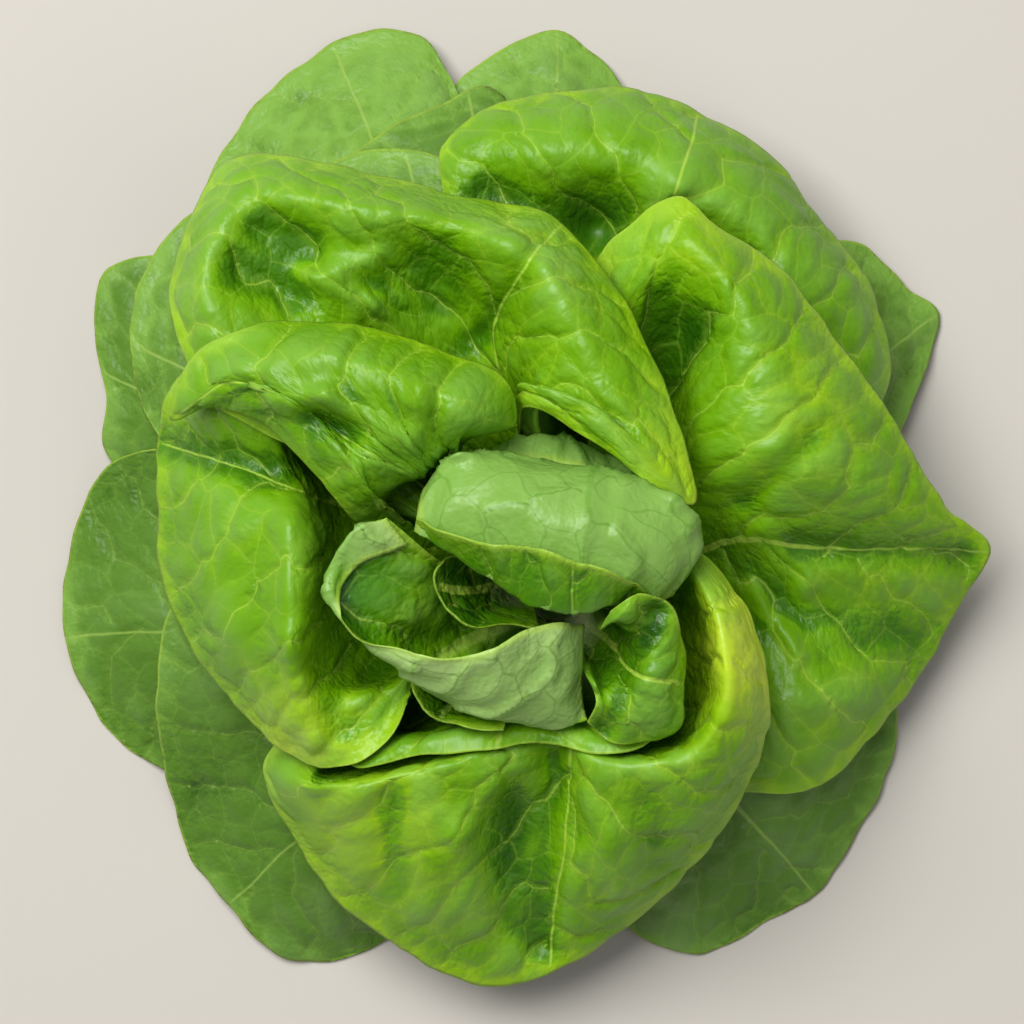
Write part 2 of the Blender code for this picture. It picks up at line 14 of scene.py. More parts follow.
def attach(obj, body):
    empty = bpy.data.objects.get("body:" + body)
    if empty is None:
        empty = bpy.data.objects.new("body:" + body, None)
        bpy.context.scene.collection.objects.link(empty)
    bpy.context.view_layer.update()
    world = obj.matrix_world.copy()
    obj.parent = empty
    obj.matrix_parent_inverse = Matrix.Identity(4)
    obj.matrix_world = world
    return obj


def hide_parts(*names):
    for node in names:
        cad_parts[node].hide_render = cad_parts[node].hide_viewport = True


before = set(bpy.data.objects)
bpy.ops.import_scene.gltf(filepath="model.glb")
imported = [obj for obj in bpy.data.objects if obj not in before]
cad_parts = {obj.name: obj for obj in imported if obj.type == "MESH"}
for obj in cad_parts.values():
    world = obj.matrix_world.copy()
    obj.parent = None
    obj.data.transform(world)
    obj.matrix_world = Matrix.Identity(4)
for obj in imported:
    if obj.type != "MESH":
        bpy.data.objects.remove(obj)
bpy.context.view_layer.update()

MM = 0.001
DOWN = Vector((0.0, 0.0, -1.0))
AROUND = ((1, 0), (-1, 0), (0, 1), (0, -1))
LEAST_LENGTH = 1e-6

# Stem and blade sizes that the leaves' forms come from, in millimetres
STEM_FOOT_RADIUS = 13.0
STEM_TOP_RADIUS = 4.5
STEM_HEIGHT = 44.0
LOWEST_MIDDLE = 0.55
STEM_GAP = 0.9
BASE_HALF_ANGLE = math.radians(27.0)
STACK_CLEARANCE = 3.0
STACK_REACH = 2.0
HEART_COVER = 9.0
CEILING = 500.0
STACK_PASSES = 40
STACK_TOLERANCE = 0.05
STACK_STEP = 0.7
STACK_EASE = 0.75
LEAST_KNOT = 0.5
CREST_OUT = 0.56
ARCH_FALL = 0.4
SWELL_REACH = 30.0

INNER_RINGS = ("neck", "crest", "shoulder", "rim")
# What a leaf has where its own line says nothing
PLAIN_LEAF = dict(under=0.5, grid=(7, 14), arch=None, swell=None, foot=(0.5, 0.5), rib=None,
                  ruffle=1.0, cover=CEILING, folds=(), creases=(), spots=())


def leaf(name, azimuth, base, slot, **form):
    """One leaf: its direction in degrees, its height on the stem, its skin and its form.

    tone and under are the tones of its faces, fine and grid the divisions of its fine and coarse
    nets, wave the height and count of its margin's ripples, arch the height of a crest that isn't
    listed, swell that of the blade between crest and edge, foot how far out and up the first ring
    lies, rib where along the edge ring the rib ends, ruffle the strength of its ruffle, and cover
    how far above a place another leaf still counts as lying below it. The rest are rows of numbers.
    """
    for key in (*INNER_RINGS, "edge", "folds", "creases", "spots"):
        if key in form:
            form[key] = np.array([row.split() for row in form[key].split(",")], float)
    return {**PLAIN_LEAF, "name": name, "azimuth": azimuth, "base": base, "slot": slot, **form}


# A ring's row is a point: x y z. A fold's or crease's is x1 y1 x2 y2 height and half width, a
# ridge, or a furrow where height is negative. A spot's is x y radius and what it adds to the tones.
# The leaves come in the order of growth, the outermost first.
# Spots brighten or darken the tone in patches: partly the leaf's own colour, partly painted light
# on lit bulges and painted shade in hollows
LEAVES = [
    leaf("outer_leaf_left_upper", 150, 5, "outer_leaf", tone=0.33, fine=(80, 140), wave=(1.5, 3.0),
         arch=28,
         edge="""-38.5 12 16, -76.5 20 10, -102.5 25 6, -116 36.5 3, -115 49 4, -118 63.5 2,
         -115 82 3, -103.5 85.5 6, -77.5 71 12, -36.5 42.5 17"""),
    leaf("outer_leaf_left", 186, 5, "outer_leaf", tone=0.30, fine=(84, 140), wave=(1.5, 3.5),
         arch=28,
         edge="""-36.5 -23 16, -73.5 -43.5 9, -99.5 -47 3, -114 -37.5 1, -122.5 -23.5 1,
         -126.5 -4.5 2, -124 12 3, -116 29.5 6, -85.5 36.5 14, -38.5 22 20"""),
    leaf("outer_leaf_lower_left", 230, 5, "outer_leaf", tone=0.28, fine=(88, 148), wave=(1.2, 4.0),
         arch=30,
         edge="""-8 -37 16, -22.5 -72.5 8, -43 -91 2, -63.5 -96.5 1, -78 -89.5 1, -83 -82 2,
         -92.5 -71.5 1, -98.5 -52 3, -101 -23 10, -93.5 1.5 18, -42.5 4 20"""),
    leaf("outer_leaf_lower_right", 308, 5, "outer_leaf", tone=0.30, fine=(88, 148), wave=(1.0, 3.0),
         arch=30,
         edge="""41 -4.5 18, 78 -10.5 12, 88.5 -31.5 5, 86 -47 2, 78.5 -62.5 1, 68.5 -78 1,
         53 -87 1, 37.5 -94.5 1, 21 -89 2, 10.5 -62 10, 6.5 -33 15"""),
    leaf("outer_leaf_right", 35, 5, "outer_leaf", tone=0.42, fine=(90, 140), wave=(1.0, 2.5),
         arch=28, rib=4,
         edge="""33 46.5 16, 59.5 83.5 10, 77.5 89 5, 91 77.5 3, 99.5 70.5 2, 97 61 3, 90.5 43.5 7,
         80 22 12, 39 10 18"""),
    leaf("outer_leaf_top", 90, 5, "outer_leaf", tone=0.45, fine=(92, 110), wave=(1.0, 2.5), arch=30,
         edge="""-14 45.5 16, -28.5 93.5 10, -26.5 127 5, -12 139.5 2, 1.5 143.5 1, 9.5 138.5 2,
         18 128 4, 25 93.5 10, 14.5 45.5 16"""),
    leaf("outer_leaf_upper_left", 117, 7, "outer_leaf", tone=0.48, fine=(92, 130), wave=(1.5, 3.0),
         arch=34,
         edge="""-40.5 38.5 18, -79.5 79.5 12, -89 102 8, -80 120 4, -65.5 134.5 2, -46 143.5 1,
         -34.5 142 2, -26.5 131 5, -20 102 12, -10 46.5 20"""),
    leaf("outer_leaf_left_inner", 142, 9, "outer_leaf", tone=0.38, fine=(84, 140), wave=(1.0, 3.0),
         arch=36,
         edge="""-42.5 18 24, -79 28 18, -100 38.5 12, -105.5 48.5 9, -108.5 65 7, -102.5 84.5 8,
         -92 96 10, -71 91 18, -34.5 46.5 26"""),
    leaf("second_leaf_top", 108, 12, "outer_leaf", tone=0.30, fine=(72, 92), grid=(7, 10),
         wave=(0.8, 3.0), arch=40,
         edge="""-26 42 28, -56.5 85 22, -52 108.5 16, -30.5 122 12, -16 128 10, -9 120 13,
         -4 93 22, -4 46.5 28"""),
    leaf("second_leaf_upper_left", 122, 15, "outer_leaf", tone=0.38, fine=(72, 92), grid=(7, 12),
         wave=(1.0, 3.0), arch=50,
         edge="""-34 38 36, -68.5 80.5 34, -62.5 103.5 30, -45.5 110.5 28, -30 109 28, -20 101.5 32,
         -10 78 38, -8 42 38"""),
    leaf("second_leaf_upper_right", 62, 12, "leaf", tone=0.42, fine=(124, 240), grid=(9, 16),
         wave=(0.8, 4.0), swell=4,
         folds="-14 97.5 10 91.5 -9 9, 10 91.5 44.5 81.5 -7 10, 0 59.5 29.5 99.5 4 6",
         spots="44 70 14 -0.08",
         edge="""-12 48 40, -24 87.5 46, -28 111 42, -20 119 38, -2 124.5 35, 18 126 32,
         37.5 120 30, 52.5 111 28, 67 94 26, 79 77.5 26, 85 54.5 28, 58.5 30 34, 26 14 34""",
         crest="""-9 38 40, -17 77.5 48, -19 102 52, -12 107 54, 0 111 55, 16.5 112 54, 32.5 107 54,
         45.5 98 53, 57.5 83.5 50, 67.5 68 46, 69.5 48 44, 48 26 42, 22 11 36"""),
    leaf("third_leaf_right", 8, 15, "leaf", tone=0.46, fine=(144, 250), grid=(11, 20),
         wave=(0.8, 5.0), swell=4, foot=(0.6, 0.57), rib=9,
         folds="""26.5 51.5 30.5 63.5 -6 6, 61 11 102.5 8 -4 4, 59 -5.5 83 -7.5 -4 9,
         49 0.5 61 -16.5 3 3, 63 1 63.5 1 2 3, 49 14 45.5 17 3 4""",
         creases="62 36 46 22 -2.5 4, 66 -16 90 -12 -2 5, 58 -28 74 -28 2 5",
         spots="32 86 12 0.12, 60 45 14 0.08, 95 20 16 0.06, 36 62 9 -0.12",
         edge="""8 48 50, 8.5 79 58, 17.5 89.5 64, 31 96.5 66, 37 91.5 67, 53 81 63, 69 62.5 57,
         83.5 43 49, 97 22 38, 110 9.5 23, 104 -2.5 18, 95 -19.5 16, 85.5 -32 18, 63 -51 24,
         40.5 -48.5 30, 20.5 -18.5 24""",
         crest="""8 40 48, 12.5 65.5 60, 20.5 75.5 68, 30 82.5 74, 36.5 79 76, 45.5 66.5 77,
         50 53 76, 54 41.5 75, 59 29 71, 62.5 12 51, 66 -2 42, 66 -14 41, 62 -24 42, 50 -34 40,
         32 -32 34, 17.5 -14.5 24""",
         neck="""8 30 38, 12 50 50, 17.5 60.5 55, 25.5 64.5 57, 31.5 60.5 60, 34 53.5 64,
         35 45.5 66, 36 37.5 67, 41 27 64, 45.5 13 47, 49 2 40, 49 -8 38, 44 -16 38, 36 -22 35,
         24.5 -22.5 29, 14.5 -10.5 22"""),
    leaf("third_leaf_bottom", 264, 19, "leaf", tone=0.48, fine=(136, 256), grid=(11, 20),
         wave=(0.8, 6.0), swell=6, foot=(0.8, 0.4), rib=8.5,
         folds="""0 -42.5 -3 -89.5 -6 4.5, -10 -54.5 -10 -82 -6 8, 4.5 -47.5 6.5 -59.5 -4 4,
         16.5 -60.5 19.5 -74 4 7, -32.5 -58.5 -30.5 -78 4 8, -49 -54.5 -49 -68 3 7""",
         creases="""-16 -47 -24 -61 2.5 3.5, -24 -61 -18 -84 2.5 4, 6 -49 17 -78 2 3.5,
         22 -52 24 -66 -2.5 6, -9 -52 -11 -70 -2 5, -40 -52 -38 -72 -2 5""",
         spots="46 -14 17 0.5, -46 -62 18 0.16, -9 -60 10 -0.08, -8 -76 8 -0.05, 23 -58 10 -0.05",
         edge="""22 -2 46, 36.5 9 70, 43.5 0 70, 50.5 -13.5 66, 52.5 -29 60, 49.5 -44.5 52,
         40 -62 42, 28 -76.5 32, 10 -91 26, -13.5 -101 21, -38.5 -91.5 24, -58.5 -74 27,
         -67.5 -59.5 32, -73 -45 36, -70 -38 40, -34 -22 36""",
         crest="""17 -3 42, 32 5.5 74, 37.5 -4 80, 40 -14 82, 41 -24.5 81, 37.5 -34.5 78,
         31 -41.5 75, 19 -44.5 72, 7.5 -43.5 70, -1 -43 62, -14 -42.5 67, -31.5 -44.5 68,
         -49.5 -47.5 64, -60.5 -45 56, -51.5 -35.5 48, -22 -14 34"""),
    leaf("third_leaf_rolled", 262, 21, "leaf", tone=0.36, fine=(76, 160), grid=(7, 16),
         wave=(0.5, 6.0), foot=(0.85, 0.45),
         edge="""15 -12 46, 25.5 -35 64, 18.5 -39 66, 7.5 -39 66, -3 -37 64, -14 -38 65,
         -24.5 -39.5 66, -36.5 -40.5 66, -49.5 -43 62, -53.5 -37 58, -26 -15.5 49""",
         crest="""12 -10 44, 21.5 -32 64, 16.5 -35 67, 7.5 -35 67, -3 -33 65, -13 -34 66,
         -22.5 -35 67, -33.5 -37 67, -43.5 -38 62, -45.5 -33.5 56, -22 -14 48"""),
    leaf("third_leaf_left", 178, 22, "leaf", tone=0.46, fine=(130, 230), grid=(11, 18),
         wave=(0.8, 5.0), swell=6, foot=(0.78, 0.5), rib=9.9,
         folds="""-97 36.5 -65 29 -7 6, -65 24 -65 -12.5 3 4, -65 -12.5 -59 -37 3 4,
         -82.5 -9.5 -84.5 2.5 3 7, -83.5 14 -78.5 16 2 6""",
         creases="-58 -8 -46 -28 2 4, -90 -6 -82 4 -2 5",
         spots="-62 -34 13 0.28, -86 -8 10 -0.06",
         edge="""-18 -11 38, -36.5 -20.5 54, -36.5 -28.5 58, -44.5 -39 56, -56.5 -43.5 53,
         -67.5 -39.5 50, -82 -25 46, -91.5 -13.5 44, -98 3 43, -99 21 44, -99 38 48, -93 53.5 54,
         -79 59.5 60, -49.5 45.5 58, -22 21.5 46""",
         crest="""-15 -9 36, -29 -15 46, -36.5 -21.5 56, -45.5 -26 62, -55 -27 67, -60.5 -23 73,
         -63.5 -13 80, -64 -3 83, -64 7.5 83, -65 17 81, -67.5 28 73, -71.5 41.5 74, -61 45.5 70,
         -39.5 34 58, -19 18 44"""),
    leaf("third_leaf_upper_left", 112, 24, "leaf", tone=0.47, fine=(130, 270), grid=(12, 22),
         wave=(0.8, 6.0), swell=2, rib=8,
         folds="""-71 88 -63.5 85 -8 7, -77 78 -66.5 73.5 -7 6, -60.5 76.5 -44 81 3 3,
         -52 74.5 -49 68.5 3 6, -27.5 82 -20.5 63.5 -6 8, -3 86 -17 63.5 -3 3""",
         creases="-62 78 -44 70 2 3, -44 70 -38 62 2 3, -36 86 -30 70 -2 4",
         spots="30 28 13 0.18, -40 72 15 -0.08",
         edge="""-30 17 55, -61 33.5 62, -86.5 49.5 64, -94.5 72 60, -91.5 89 56, -81 106.5 54,
         -55.5 105 58, -26 98 60, 1 90.5 64, 12.5 77.5 69, 21 62.5 76, 28 45 79, 33.5 21 78,
         22.5 26.5 86, 9 36.5 86, -7 45 82, -8 35.5 60, -6 20 46""",
         crest="""-24 15 53, -49.5 32 64, -76 52 74, -86 70.5 76, -83 86 76, -72 96 76,
         -50.5 94.5 79, -25.5 89.5 81, -5 81.5 86, 2.5 72 88, 8 61.5 89, 14 49 89, 20 36.5 87,
         11 43 91, 1.5 47 90, -9 50 84, -8 34 58, -5 18 44""",
         neck="""-18 13 47, -35.5 26 56, -55 43.5 64, -63 57 67, -59 69 68, -53 75.5 69,
         -43 78.5 69, -27.5 74.5 68, -15 67 70, -9 61 75, -5 55 79, -3.5 50 81, -1.5 46 82,
         -4 47 81, -7 48 78, -9 45.5 68, -6 30 52, -4 15 40"""),
    leaf("third_leaf_hooded", 140, 26, "leaf", tone=0.42, fine=(130, 220), grid=(11, 18),
         wave=(0.6, 5.0), swell=2, foot=(0.85, 0.45), rib=6,
         folds="""-68 46 -55.5 47 3 3, -55.5 47 -35 35.5 3 3, -58 42 -50.5 39.5 -4 4,
         -44.5 32.5 -43 34.5 3 5, -33 39.5 -33 49 2 3""",
         creases="-58 56 -52 62 1.5 5, -34 46 -30 54 1.5 3",
         spots="-58 34 12 -0.06",
         edge="""-24 6 44, -46 15 72, -53.5 23 82, -61 31.5 84, -71 41 82, -82 45 76, -94 42.5 66,
         -87.5 58 68, -72 64.5 76, -47 64.5 80, -27.5 58.5 84, -11 49 86, -9 41 84, -20.5 37.5 80,
         -12 17 48""",
         crest="""-20 6 42, -41 19 76, -46.5 25 91, -53 33.5 94, -61.5 43 94, -70.5 49 91,
         -79.5 51 86, -74.5 54.5 90, -61.5 57.5 94, -45.5 55.5 97, -31 50.5 99, -20.5 45.5 99,
         -18.5 41 96, -24.5 36.5 88, -14 17 47""",
         neck="""-17 5 40, -35.5 16 64, -43 21 80, -43.5 25 86, -42.5 27.5 88, -41 29.5 89,
         -39 30.5 90, -37 31.5 90, -35 32.5 90, -32 33.5 90, -28.5 34.5 90, -25.5 35.5 90,
         -24.5 34.5 87, -23.5 29.5 72, -14 14 45"""),
    leaf("heart_leaf_back", 85, 29, "heart_leaf", tone=0.4, under=0.45, fine=(70, 90), grid=(6, 10),
         wave=(0.6, 3.0), cover=HEART_COVER,
         edge="-17 33 69, -11 33 71, -3 32 72, 4.5 30.5 72, 12.5 28.5 71, 20.5 25 69",
         crest="-16 34.5 60, -10 37 63, -2 38 64, 5.5 36 64, 13.5 32 63, 21.5 28 61"),
    leaf("heart_leaf_roll", 238, 29, "heart_leaf", tone=0.5, fine=(70, 90), grid=(6, 12),
         wave=(0.5, 4.0), foot=(0.6, 0.35), cover=HEART_COVER,
         edge="-13 -34 67, -18 -33.5 70, -24.5 -32 71, -30.5 -29.5 71, -34.5 -25 70, -35.5 -20 66",
         crest="""-12 -30.5 58, -17 -30.5 60, -23 -29 61, -27.5 -27 60, -30.5 -22.5 61,
         -28.5 -18 61"""),
    leaf("heart_leaf_cup", 225, 31, "heart_leaf", tone=0.42, under=0.72, fine=(110, 170),
         grid=(9, 16), wave=(0.6, 5.0), cover=HEART_COVER,
         spots="-54 4 13 -0.35, -30 -14 9 0.2",
         edge="""7 -8 78, 0.5 -7 86, -9 -9.5 91, -18.5 -14.5 93, -26.5 -15.5 93, -37 -13.5 91,
         -48.5 -10.5 89, -52.5 0.5 85, -46.5 7 85, -36 11.5 84""",
         shoulder="""6.5 -23 72, 0.5 -23.5 79, -10 -24.5 83, -20.5 -23.5 85, -31 -20 86,
         -42 -15.5 86, -50.5 -7 84, -55 4.5 86, -49.5 14 88, -41 18 87""",
         crest="""7.5 -31 62, 0 -33 64, -12 -31 66, -22 -28 68, -30.5 -24 68, -35.5 -13 70,
         -35.5 -6 76, -35 1.5 78, -33.5 6.5 78, -29.5 8.5 76"""),
    leaf("heart_leaf_hood", 80, 33, "heart_leaf", tone=0.33, fine=(120, 160), grid=(14, 14),
         wave=(0.5, 5.0), cover=HEART_COVER,
         edge="""-34 17.5 92, -27 14.5 97, -17.5 12.5 101, -6 11 103, 3.5 8 103, 13 5 101,
         17.5 3 97, 20.5 1 92, 22.5 -3 86""",
         rim="""-34 15 88, -24.5 9 91, -14 2 92, -6 -3 92, 4 -5 92, 13 -3 91, 19 -2 88, 22 -2 86,
         23 -4 82""",
         shoulder="""-33 19 89, -25.5 21 94, -16 21 97, -4.5 19 99, 7 16 99, 16.5 13.5 97,
         24.5 9.5 94, 27.5 4.5 89, 24.5 -2 83""",
         crest="""-32 24 84, -25.5 30.5 87, -17 30.5 90, -4.5 28.5 91, 8 26.5 91, 19.5 24 90,
         30.5 19 88, 33.5 11.5 85, 28 -0.5 79""",
         neck="""-27 19 58, -23 27 62, -14 29 63, -4 27 63, 7.5 25 63, 18.5 20 63, 23.5 13 62,
         24.5 6 60, 19.5 -1.5 56"""),
    leaf("heart_leaf_right", 315, 35, "leaf", tone=0.36, fine=(100, 130), grid=(9, 14),
         wave=(0.8, 4.0), cover=HEART_COVER,
         folds="23.5 -5 12 -33 -4 3, 29.5 -8 25.5 -31 3 4, 17 -3 6.5 -28 2 3",
         edge="""13 -4 80, 20 0 84, 26.5 -2 84, 30 -11 80, 31.5 -22 76, 30 -32.5 73, 22 -36.5 71,
         12.5 -36 72, 7.5 -31.5 75""",
         crest="""11 -8 84, 16 -6 88, 20.5 -8 89, 22.5 -13.5 88, 22 -20.5 86, 19 -26.5 84,
         15 -29.5 82, 11.5 -29.5 81, 9.5 -27.5 80"""),
    leaf("heart_leaf_middle", 160, 39, "leaf", tone=0.3, fine=(60, 90), grid=(6, 8),
         wave=(1.2, 3.0), ruffle=2.0, cover=HEART_COVER,
         edge="""-4 -8 74, -14 -8 77, -23.5 -7 81, -28.5 -1.5 81, -29.5 4.5 80, -26.5 8.5 77,
         -18 6.5 75, -8 1.5 72""",
         crest="""-5 -4.5 61, -12 -4.5 63, -17 -3.5 65, -20 -0.5 66, -21 2.5 66, -19 4.5 65,
         -13 4.5 63, -7 1.5 61"""),
]
for number, spec in enumerate(LEAVES, 1):
    spec["seed"] = number


def lengths(vectors):
    return np.linalg.norm(vectors, axis=-1)


def unit(vectors):
    return vectors / np.maximum(lengths(vectors)[..., None], LEAST_LENGTH)


def bell(distance, width):
    """From 1 at no distance, falling to 0 well past the width."""
    return np.exp(-(distance / width)**2)


def ramp(values, low, high):
    """From 0 at low to 1 at high, smooth at both ends."""
    t = np.clip((values - low) / (high - low), 0.0, 1.0)
    return t * t * (3.0 - 2.0 * t)


def knots(points):
    """Distances along a line of points, from 0 to 1."""
    steps = lengths(np.diff(points, axis=0))
    along = np.concatenate([[0.0], np.cumsum(np.maximum(steps, LEAST_KNOT))])
    return along / along[-1]


def through(marks, values, where):
    """A smooth curve through values at marks, read at where."""
    shape = (-1, *[1] * (values.ndim - 1))
    gaps = np.diff(marks).reshape(shape)
    slopes = np.diff(values, axis=0) / gaps
    inner = (slopes[:-1] * gaps[1:] + slopes[1:] * gaps[:-1]) / (gaps[:-1] + gaps[1:])
    tangents = np.concatenate([slopes[:1], inner, slopes[-1:]])
    cell = np.clip(np.searchsorted(marks, where, side="right") - 1, 0, len(marks) - 2)
    width = gaps[cell]
    t = (where - marks[cell]).reshape(shape) / width
    return ((2 * t**3 - 3 * t**2 + 1) * values[cell]
            + (t**3 - 2 * t**2 + t) * width * tangents[cell]
            + (3 * t**2 - 2 * t**3) * values[cell + 1]
            + (t**3 - t**2) * width * tangents[cell + 1])


def circle(turn, radius, height):
    """Points at those angles round the stem's axis, so far out and so high."""
    return np.stack([radius * np.cos(turn), radius * np.sin(turn),
                     np.full(len(turn), float(height))], axis=1)


def stem_radius(height):
    return STEM_FOOT_RADIUS + (STEM_TOP_RADIUS - STEM_FOOT_RADIUS) * height / STEM_HEIGHT


def rings(spec):
    """The leaf's rings of points, from the stem out to the margin."""
    edge = spec["edge"]
    turn = np.linspace(BASE_HALF_ANGLE, -BASE_HALF_ANGLE, len(edge)) + math.radians(spec["azimuth"])
    base = circle(turn, stem_radius(spec["base"]) + STEM_GAP, spec["base"])
    inner = [spec[key] for key in INNER_RINGS if key in spec]
    if spec["arch"]:
        side = np.abs(np.linspace(-1.0, 1.0, len(edge)))
        crest = base + (edge - base) * CREST_OUT
        crest[:, 2] = spec["arch"] * (1.0 - ARCH_FALL * side**2)
        inner = [crest]
    if spec["swell"]:
        middle = (inner[-1] + edge) / 2
        reach = lengths(edge - inner[-1])
        middle[:, 2] += spec["swell"] * np.minimum(reach / SWELL_REACH, 1.0)
        inner.append(middle)
    out, up = spec["foot"]
    foot = base + (inner[0] - base) * (out, out, up)
    return np.array([base, foot, *inner, edge])


def fold_lift(points, folds):
    """Height that the folds add at each point, by its distance from each fold's line."""
    lift = np.zeros(points.shape[:-1])
    for x1, y1, x2, y2, height, width in folds:
        start = np.array([x1, y1])
        line = np.array([x2 - x1, y2 - y1])
        along = np.clip(((points[..., :2] - start) @ line) / (line @ line), 0.0, 1.0)
        off = points[..., :2] - start - along[..., None] * line
        lift += height * np.exp(-(off**2).sum(-1) / width**2)
    return lift


def surface(spec, u, v):
    """Middle of the blade: a point for each u, from the stem out, and each v, left to right."""
    net = rings(spec)
    across = through(knots(net[-1]), net.transpose(1, 0, 2), v)
    steps = lengths(np.diff(net, axis=0)).mean(axis=1)
    marks = np.concatenate([[0.0], np.cumsum(steps)]) / steps.sum()
    points = through(marks, across.transpose(1, 0, 2), u)
    height, count = spec["wave"]
    ripple = height * np.outer(u**4, np.sin(2.0 * math.pi * count * v + spec["azimuth"]))
    points[..., 2] += fold_lift(points, spec["folds"]) + ripple
    points[..., 2] = np.maximum(points[..., 2], LOWEST_MIDDLE)
    return points


def grid_faces(rows, columns):
    """Triangles of a grid of points, the diagonals turned alternately."""
    row, column = np.meshgrid(np.arange(rows), np.arange(columns), indexing="ij")
    a = row * (columns + 1) + column
    b, c, d = a + columns + 1, a + columns + 2, a + 1
    odd = ((row + column) % 2 == 1)[..., None]
    first = np.where(odd, np.stack([a, b, c], 2), np.stack([a, b, d], 2))
    second = np.where(odd, np.stack([a, c, d], 2), np.stack([b, c, d], 2))
    return np.concatenate([first.reshape(-1, 3), second.reshape(-1, 3)])


def pile_tree(grids):
    """Search tree over the leaves laid so far."""
    faces = []
    count = 0
    for grid in grids:
        rows, columns = grid.shape[:2]
        faces.append(grid_faces(rows - 1, columns - 1) + count)
        count += rows * columns
    points = np.concatenate([grid.reshape(-1, 3) for grid in grids])
    return BVHTree.FromPolygons(points.tolist(), np.concatenate(faces).tolist())


def top_below(tree, x, y, z):
    """Height of the first leaf straight below the place, or far down where there is none."""
    place = tree.ray_cast(Vector((x, y, z)), DOWN)[0]
    return -CEILING if place is None else place.z


def samples(points):
    """Points of each cell with the weights of its corners: corners, edge middles and centre."""
    for a in (0.0, 0.5, 1.0):
        for b in (0.0, 0.5, 1.0):
            yield (a, b), ((1 - a) * (1 - b) * points[:-1, :-1] + a * (1 - b) * points[1:, :-1]
                           + (1 - a) * b * points[:-1, 1:] + a * b * points[1:, 1:])


def floor_height(tree, spot, cover):
    """Lowest height for a blade at the spot: the leaves laid so far and the gap kept to them.

    What hangs more than cover above the spot isn't counted.
    """
    x, y, z = spot
    return STACK_CLEARANCE + max(
        top_below(tree, x + dx * STACK_REACH, y + dy * STACK_REACH, z + cover)
        for dx, dy in ((0, 0), *AROUND))


def stack(points, tree, cover):
    """Lifts the blade where it would meet a leaf below, and eases the lift into its neighbours."""
    lift = np.zeros(points.shape[:2])
    tops = [np.array([[floor_height(tree, spot, cover) for spot in line] for line in grid])
            for _, grid in samples(points)]
    for _ in range(STACK_PASSES):
        moved = points.copy()
        moved[..., 2] += lift
        need = np.zeros_like(lift)
        for ((a, b), grid), top in zip(samples(moved), tops):
            short = np.maximum(top - grid[..., 2], 0.0)
            for da, db in ((0, 0), (1, 0), (0, 1), (1, 1)):
                if (a if da else 1 - a) * (b if db else 1 - b) > 0.0:
                    part = need[da:da + short.shape[0], db:db + short.shape[1]]
                    np.maximum(part, short, out=part)
        if need.max() < STACK_TOLERANCE:
            break
        lift += STACK_STEP * need
        around = sum(shifted(lift, a, b) for a, b in ((-1, 0), (1, 0), (0, -1), (0, 1))) / 4
        lift = np.maximum(lift, STACK_EASE * around)
    lifted = points.copy()
    lifted[..., 2] += lift
    return lifted


# Finish of the fine blades, in millimetres
BLADE_THICKNESS = 0.62
MARGIN_THICKNESS = 0.4
MARGIN_TAPER = 3.0
ROW_CROWDING = 0.75
STEM_END = 8.0
LAY_GAP = 1.5
LAY_SPREAD = 6
LAY_SMOOTHING = 12
HOLLOW_REACH = 7.0
HOLLOW_GAIN = 4.0
HOLLOW_SMOOTHING = 4

# Flattening a leaf: its first fan in radians, its grid, passes, and shares of kept lengths
FAN_LEAST = 0.8
FAN_MOST = 4.2
FLAT_ROWS = 20
FLAT_COLUMNS = 30
FLAT_PASSES = 500
FLAT_RATE = 1.6
PUSH_SHARE = 0.1
EVEN_SHARES = (0.3, 0.75)
EVEN_SMOOTHING = 6

# Net of veins, in millimetres on the flattened leaf
SEED_STEP = 3.7
SEED_OFFSET = (61.0, 37.0)
SEED_ROWS = 90.0
HALVES_APART = 500.0
LATERAL_ANGLE = math.radians(41.0)
LATERAL_ROWS = 2.0
FAR_FROM_LATERAL = 9.0
CELL_SIZE = 8.5
CELL_STRETCH = 1.3
SMALL_SIZE = 3.6
WARP_SIZE = 46.0
WARP_REACH = 20.0
BEND_SIZE = 9.0
BEND_REACH = 3.0
RIB_SWAY = 0.25

# Puffs between the veins: heights, the ways over which they rise, and where along the leaf
CELL_PUFF, CELL_DOME = 0.65, 2.6
SMALL_PUFF, SMALL_DOME = 0.08, 1.0
LATERAL_PUFF, LATERAL_WIDTH = 0.55, 1.7
PUFF_SUNK = 0.6
PUFF_ALONG = (STEM_END + 6.0, STEM_END + 30.0)
PUFF_AT_MARGIN = 0.3
MARGIN_REACH = 5.0

# Ruffle of the margin, up and outward
RUFFLE_HEIGHT = 0.6
RUFFLE_REACH = 8.0
RUFFLE_ALONG = (STEM_END + 10.0, STEM_END + 40.0)
RUFFLE_WAVES = (17.0, 29.0, 47.0)
OUTLINE_SHIFT = 0.5
OUTLINE_WAVES = (13.0, 24.0, 43.0)
OUTLINE_SEED = 50
WAVE_DRIFT = (0.8, 1.25)

# Ribs on the lower face, from the stem to the tip, and the groove above the middle one
RIB_BREADTH = (4.6, 0.9)
RIB_DEPTH = (2.0, 0.25)
RIB_FALL = 0.6
SIDE_RIB_DEPTH, SIDE_RIB_BREADTH = 0.4, 0.9
SIDE_RIB_ALONG = (20.0, 50.0)
GROOVE_DEPTH, GROOVE_BREADTH = 0.25, 1.1


def normals(points):
    """Upward normals of the blade's grid."""
    return unit(np.cross(np.gradient(points, axis=1), np.gradient(points, axis=0)))


def shifted(values, rows, columns):
    """The grid's values moved by whole rows and columns, its borders repeated."""
    height, width = values.shape[:2]
    down = np.clip(np.arange(height) + rows, 0, height - 1)
    over = np.clip(np.arange(width) + columns, 0, width - 1)
    return values[down][:, over]


